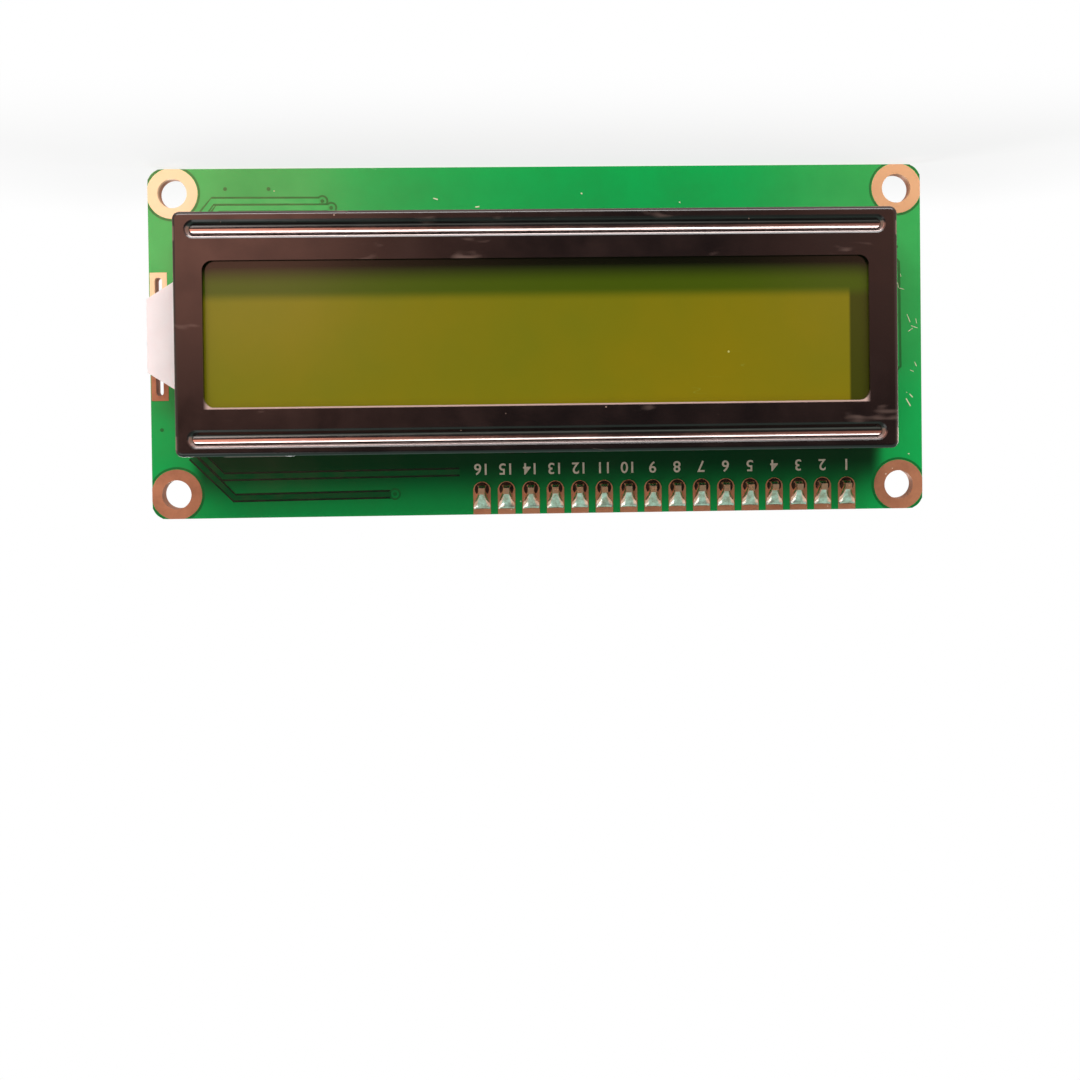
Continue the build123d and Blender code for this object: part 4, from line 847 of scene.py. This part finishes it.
numbers("board_marks", [("2", 24.9, -3.3, 1.3), ("3", 24.8, -6.75, 1.3), ("3", 28.92, 1.6, 1.3),
                        ("1", 33.6, 5.4, 1.1), ("2", 24.2, 5.4, 1.1), ("3", 22.4, 5.4, 1.1),
                        ("8", 15.4, 11.95, 1.3), ("4", -18.9, -4.9, 1.2), ("3", -27.2, -2.7, 1.1),
                        ("2", -27.2, -4.95, 1.1), ("1", -27.2, -7.2, 1.1), ("+", 36.6, 4.2, 1.4),
                        ("−", 36.6, -5.9, 1.4), ("1", 6.0, -6.6, 1.2), ("2", -20.6, -1.0, 1.2)],
        back_print, silk_white)
numbers("end_numbers", [("1", -34.3, pin_row, 1.5), ("16", 9.2, pin_row, 1.5)], back_print, silk_white)

# Black resin over the two driver dies, poured and cured in a low dome inside a printed circle. Its skin
# is glossy with a slow wave.
resin_black = finish("resin_black", (16, 15, 15), (30, 26, 26), scale=160.0, amount=0.7, rough=(0.08, 0.2),
                     bump=0.5, depth=6e-5, specks=((140, 130, 120), 700.0, 0.06, 0.10), Coat_Weight=0.3)
blob_dome = [(0.0, 5.7), (0.35, 5.62), (0.7, 5.3), (0.95, 4.7), (1.12, 3.8), (1.22, 2.7), (1.28, 1.4),
             (1.3, 0.3)]
for side, place in (("left", blob_left), ("right", blob_right)):
    blob = domes("resin_" + side, [place], board_back, blob_dome, resin_black, count=48)
    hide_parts("driver_blob_" + side)


# Chip resistors of both boards: a white ceramic slab with a black glassy top and a plain number, metal
# ends, and a fillet of solder at each end that holds it to its pads. The tan part is the capacitor.
def wedge_into(shape, centre, size, along_z, side, drop):
    """Fillet of solder: a box whose far top edge is pulled down, at one end of a small part."""
    corners = box_into(shape, centre, size)
    top = max(v.co.y for v in corners)
    for corner in corners:
        outward = (corner.co.z - centre[2] / 1000) if along_z else (corner.co.x - centre[0] / 1000)
        if corner.co.y > top - 1e-9 and outward * side > 0:
            corner.co.y -= drop / 1000


def oriented(along_z, along, across):
    """The two sizes of a part in the order X, Z."""
    return (across, along) if along_z else (along, across)


def middle(name):
    """Low corner, high corner, and X and Z of the middle of a CAD node's box, in millimetres."""
    low, high = (corner * 1000 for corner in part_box(name))
    return low, high, (low.x + high.x) / 2, (low.z + high.z) / 2


chip_ceramic = finish("chip_ceramic", (226, 222, 214), (206, 200, 190), scale=2400.0, rough=(0.4, 0.6))
chip_glaze = finish("chip_glaze", (40, 30, 25), (58, 44, 36), scale=1500.0, rough=(0.22, 0.42), bump=0.3,
                    depth=1e-5, specks=((130, 110, 96), 2600.0, 0.1, 0.12))
chip_tin = finish("chip_tin", (232, 226, 216), (190, 172, 156), scale=1900.0, amount=0.8, rough=(0.14, 0.3),
                  bump=0.4, depth=2.5e-5, Metallic=0.9)
cap_tan = finish("cap_tan", (226, 162, 92), (206, 138, 70), scale=1600.0, amount=0.7, rough=(0.35, 0.5),
                 bump=0.25, depth=1e-5)
chip_names = ["adapter_resistor_%d" % n for n in range(4, 11)]
chip_names += ["board_resistor_%d" % n for n in (1, 2, 3)] + ["feedback_resistor", "limit_resistor"]
dress(chip_ceramic, *chip_names)
dress(cap_tan, "adapter_capacitor")
glazes, ends, fillets = bmesh.new(), bmesh.new(), bmesh.new()
chip_marks = []
for name in chip_names + ["adapter_capacitor"]:
    low, high, x, z = middle(name)
    foot, top = low.y, high.y
    along_z = high.z - low.z > high.x - low.x
    long, wide = (high.z - low.z, high.x - low.x) if along_z else (high.x - low.x, high.z - low.z)
    reach, digit = (0.95, 0.5) if name == "limit_resistor" else (0.78, 0.34)
    height = 0.72 * (top - foot)
    for side in (1, -1):
        shift_x, shift_z = oriented(along_z, side * (long / 2 - 0.17 * long + 0.02), 0)
        size_x, size_z = oriented(along_z, 0.34 * long - 0.02, wide + 0.05)
        box_into(ends, (x + shift_x, (foot + top) / 2 + 0.015, z + shift_z),
                 (size_x, top - foot + 0.03, size_z))
        shift_x, shift_z = oriented(along_z, side * (long / 2 + reach / 2), 0)
        size_x, size_z = oriented(along_z, reach, wide + 0.12)
        wedge_into(fillets, (x + shift_x, foot + height / 2, z + shift_z), (size_x, height, size_z), along_z,
                   side, 0.72 * height)
    if name in chip_names:
        size_x, size_z = oriented(along_z, 0.64 * long, 0.95 * wide)
        box_into(glazes, (x, top + 0.012, z), (size_x, 0.03, size_z))
        code = {"adapter_resistor_7": "472", "adapter_resistor_8": "472", "adapter_resistor_10": "102",
                "adapter_resistor_6": "102", "feedback_resistor": "913"}.get(name, "201")
        chip_marks.append((round(top + 0.027, 3), (code, x, z, digit, 90 if along_z else 0)))
make_piece(glazes, "chip_tops", chip_glaze, bevel=0.01)
make_piece(ends, "chip_ends", chip_tin, bevel=0.05)
make_piece(fillets, "chip_solder", solder_bright, bevel=0.11, segments=3)
for level in sorted({top for top, mark in chip_marks}):
    numbers("chip_numbers_%d" % round(level * 10), [mark for top, mark in chip_marks if top == level],
            layer_on(level, 0, 12), silk_cream, bold=0.0)


# Adapter board: thin laminate under a black mask with tan cut edges, soldered to the pin row. It has
# faint tracks under the mask, white printed outlines, plain numbers and three pairs of grey tinned pads.
def bracket_routes(x, z, wide, high, gap=0.55, round_low=False, round_top=False):
    """Outline of a part that stands upright: two halves with a gap, with square or rounded ends."""
    flatness = 0.55
    routes = []
    for side, rounded in ((1, round_top), (-1, round_low)):
        left, right, end, start = x - wide / 2, x + wide / 2, z + side * high / 2, z + side * gap / 2
        if rounded:
            centre = end - side * wide / 2 * flatness
            crown = [(px, centre + side * (pz - centre) * flatness)
                     for px, pz in arc_route(x, centre, wide / 2, 180, 0, 12)]
            routes.append([(left, start)] + crown + [(right, start)])
        else:
            corners = [(left, start), (left, end), (right, end), (right, start)]
            routes += [[a, b] for a, b in zip(corners, corners[1:])]
    return routes


def lying_routes(x, z, wide, high, gap=0.62):
    """Outline of a part that lies level, with gaps in the middle of its long sides."""
    return [[(b, a) for a, b in route] for route in bracket_routes(z, x, high, wide, gap)]


black_mask = board_finish("black_mask", (22, 19, 16), (14, 12, 10), (206, 184, 154), (178, 152, 120),
                          scale=180.0, amount=0.7, rough=(0.16, 0.34), bump=0.3,
                          specks=((168, 150, 132), 900.0, 0.065, 0.13),
                          scratches=((84, 74, 66), 420.0, 0.30), Specular_IOR_Level=0.45)
dress(black_mask, "adapter_board")
black_track = finish("black_track", (30, 26, 23), (20, 17, 15), scale=500.0, rough=(0.15, 0.3))
adapter_tracks = [[(-18.2, 1.6), (-20.0, 1.6), (-20.8, 2.6), (-28.4, 2.6)],
                  [(-6.6, 13.2), (3.0, 13.2), (3.6, 12.6)], [(-7.6, 3.4), (-7.6, 1.8)],
                  [(-18.6, 3.2), (-30.0, 3.2)], [(-2.9, 13.6), (-20.0, 13.6), (-28.0, 13.6)],
                  [(5.6, 4.9), (5.6, -0.4), (4.6, -1.2), (-6.0, -1.2)],
                  [(-19.8, 9.3), (-19.8, 4.0), (-21.0, 3.8)]]
address_columns = (-22.2, -24.6, -27.0)
adapter_print = layer_on(adapter_back, 4, 26)
outlines = frame_route(-12.97, 15.51, 40.86, 2.7)
outlines += [[(7.4, 11.26), (4.6, 11.26)], [(4.6, 11.26), (4.6, 5.9)], [(4.6, 5.9), (5.0, 5.9)]]
outlines += bracket_routes(-1.7, 9.9, 2.2, 4.2)
outlines += bracket_routes(-4.27, 9.9, 2.15, 4.8, round_low=True, round_top=True)
outlines += bracket_routes(2.83, 4.75, 2.17, 4.9, gap=0.8, round_top=True)
for x in (0.26, -2.31, -4.88):
    outlines += bracket_routes(x, 5.05, 2.15, 4.05)
for x in (-3.85, -8.35, -12.85):
    outlines += lying_routes(x, 0.22, 4.0, 2.15)
outlines += [[(3.75, 9.1), (3.75, 10.35), (3.3, 10.35)], [(0.35, 9.1), (0.35, 10.35), (0.9, 10.35)],
             [(3.3, 10.35), (2.45, 10.35)], [(1.6, 10.35), (0.9, 10.35)],
             [(3.25, 10.45), (3.25, 11.3), (2.75, 11.3)], [(0.85, 10.45), (0.85, 11.3), (1.35, 11.3)],
             [(-9.3, 13.0), (-9.3, 2.5)], [(-16.95, 13.0), (-16.95, 2.5)],
             [(-20.6, 12.75), (-20.6, 4.7)], [(-20.6, 4.7), (-28.3, 4.7)], [(-28.3, 4.7), (-28.3, 5.5)],
             [(-20.45, 13.15), (-20.95, 13.2)]]
outlines += frame_route(-32.15, 7.4, 2.5, 10.4)
for x in address_columns:
    outlines += frame_route(x, 0.85, 1.55, 2.9)
strips("adapter_outlines", outlines, 0.19, adapter_print, silk_white)
adapter_marks = [("7", -0.9, 12.45, 0.85), ("1", -6.0, 9.5, 0.8), ("12", 5.5, 12.6, 0.9),
                 ("10", 0.2, 2.05, 0.85), ("8", -2.3, 2.05, 0.85), ("9", -5.6, 2.05, 0.85),
                 ("5", -8.3, 1.8, 0.85), ("4", -12.6, 1.8, 0.85), ("+", 3.5, 1.35, 1.3)]
adapter_marks += [(str(n + 1), -29.95, 11.3 - 2.55 * n, 0.95) for n in range(4)]
adapter_marks += [(str(n), x, -1.2, 0.8) for n, x in enumerate(address_columns)]
numbers("adapter_numbers", adapter_marks, adapter_print, silk_white, bold=0.04)
address_tin = finish("address_tin", (150, 132, 120), (96, 84, 78), scale=1500.0, amount=0.9,
                     rough=(0.25, 0.45), bump=0.3, Metallic=0.5)
plates("address_pads", [(x, z, 0.95, 0.95) for x in address_columns for z in (1.5, 0.15)],
       layer_on(adapter_back, 3, 40), address_tin, bevel=0.012)
strips("adapter_tracks", adapter_tracks, 0.3, layer_on(adapter_back, 3, 16), black_track)

# Expander chip: a dark moulded body with a fine grain and sixteen tinned gull-wing leads, with a long
# bead of solder over each foot and its pad. The small transistor is made in the same way.
chip_plastic = finish("chip_plastic", (66, 57, 54), (56, 48, 46), scale=2600.0, amount=0.85,
                      rough=(0.5, 0.68), bump=0.4, depth=1.5e-5, specks=((136, 120, 112), 2300.0, 0.13, 0.14))
dress(chip_plastic, "expander_chip", "transistor_body")
lead_tin = finish("lead_tin", (236, 230, 222), (204, 186, 170), scale=1700.0, amount=0.7, rough=(0.14, 0.3),
                  bump=0.3, Metallic=1.0)
dress(lead_tin, "expander_leads", "transistor_leads")
lead_pitch, bead_reach = 1.27, 5.66
bead_rings = [(0.0, 1.22, 0.50), (0.12, 1.2, 0.50), (0.26, 1.12, 0.45), (0.38, 0.98, 0.36),
              (0.46, 0.76, 0.25), (0.51, 0.46, 0.13), (0.53, 0.16, 0.04)]
chip_low, chip_high, chip_x, chip_z = middle("expander_leads")
beads = bmesh.new()
for row in range(8):
    for side in (1, -1):
        mound_into(beads, chip_x + side * bead_reach, chip_z + (row - 3.5) * lead_pitch, adapter_back,
                   bead_rings)
faces_out(beads)
make_piece(beads, "chip_beads", solder_bright, sharp=70.0)

# Contrast trimmer: a blue moulded cap with engraved marks on a white base, three tinned pins, and a
# cream rotor that turns in the cap. The floor of the rotor's cross slot has painted shade.
trimmer_blue = finish("trimmer_blue", (44, 136, 220), (26, 112, 200), scale=420.0, amount=0.6,
                      rough=(0.28, 0.42), bump=0.2, specks=((160, 206, 246), 1100.0, 0.07, 0.08),
                      scratches=((120, 184, 244), 460.0, 0.28))
dress(trimmer_blue, "trimmer_body")
dress(finish("base_ceramic", (236, 232, 224), (220, 214, 204), scale=900.0, rough=(0.4, 0.6)), "trimmer_base")
dress(lead_tin, "trimmer_pins")
rotor_cream = finish("rotor_cream", (236, 208, 186), (214, 180, 152), scale=1100.0, amount=0.7,
                     rough=(0.35, 0.55), bump=0.2, depth=1.5e-5, specks=((150, 116, 88), 1700.0, 0.08, 0.10))
rotor_x, rotor_y, rotor_z = object_axes(rotor_cream)
rotor_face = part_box("trimmer_rotor")[1].y
# Painted shade: the rotor turns dark brown from 0.06 mm to 0.35 mm below its top face, so its slot floor is
# dark.
paint_over(rotor_cream, ramp(rotor_y, rotor_face - 0.06e-3, rotor_face - 0.35e-3), srgb(104, 72, 46))
dress(rotor_cream, "trimmer_rotor")
trimmer_ink = finish("trimmer_ink", (16, 62, 128), (12, 50, 108), scale=900.0, rough=(0.4, 0.6))
trimmer_low, trimmer_high, trimmer_x, trimmer_z = middle("trimmer_body")
trimmer_top = trimmer_high.y
numbers("trimmer_numbers", [("1", trimmer_x + 2.7, trimmer_z - 2.2, 0.6),
                            ("3", trimmer_x - 2.75, trimmer_z - 2.2, 0.6)],
        layer_on(trimmer_top, -4, 8), trimmer_ink, bold=0.0)
tick_inner, tick_outer = 1.93, 2.46
tick_routes = []
for tick in range(12):
    way = Vector((1.0, 0.0))
    way.rotate(Matrix.Rotation(math.radians(90 + (tick - 5.5) * 25), 2))
    tick_routes.append([(trimmer_x + way.x * r, trimmer_z + way.y * r) for r in (tick_inner, tick_outer)])
strips("trimmer_tick_ink", tick_routes, 0.17, layer_on(trimmer_top, -118, -112), trimmer_ink)
discs("trimmer_dot", [(trimmer_x + 2.3, trimmer_z - 1.55)], 0.24, layer_on(trimmer_top, -2, 6), chip_glaze,
      count=20)

# Power lamp: a clear resin block on a white base with metal ends, held by a fillet of solder at each
# end like the chip resistors.
dress(lamp_resin, "power_led")
lamp_low, lamp_high, lamp_x, lamp_z = middle("power_led")
lamp_ends = bmesh.new()
for side in (1, -1):
    wedge_into(lamp_ends, (lamp_x, adapter_back + 0.16, lamp_z + side * 1.32), (1.42, 0.32, 0.75), True,
               side, 0.22)
make_piece(lamp_ends, "lamp_solder", solder_bright, bevel=0.1, segments=3)

# Pin headers of the adapter: black plastic blocks with gold-flashed square pins, four for the bus and
# two for the jumper.
dress(header_plastic, "bus_header_block", "jumper_header_block")
dress(pin_gold, "bus_header_pins", "jumper_header_pins")

# Jumper cap: black moulded plastic that pulls off its two pins, worn grey by handling, with a gold clip
# that shows in its notch.
jumper_plastic = finish("jumper_plastic", (86, 72, 68), (60, 49, 46), scale=900.0, amount=0.8,
                        rough=(0.4, 0.6), bump=0.35, depth=2.5e-5,
                        specks=((170, 150, 138), 1300.0, 0.09, 0.12), scratches=((120, 104, 96), 460.0, 0.28))
dress(jumper_plastic, "jumper_cap")
dress(pin_gold, "jumper_clip")
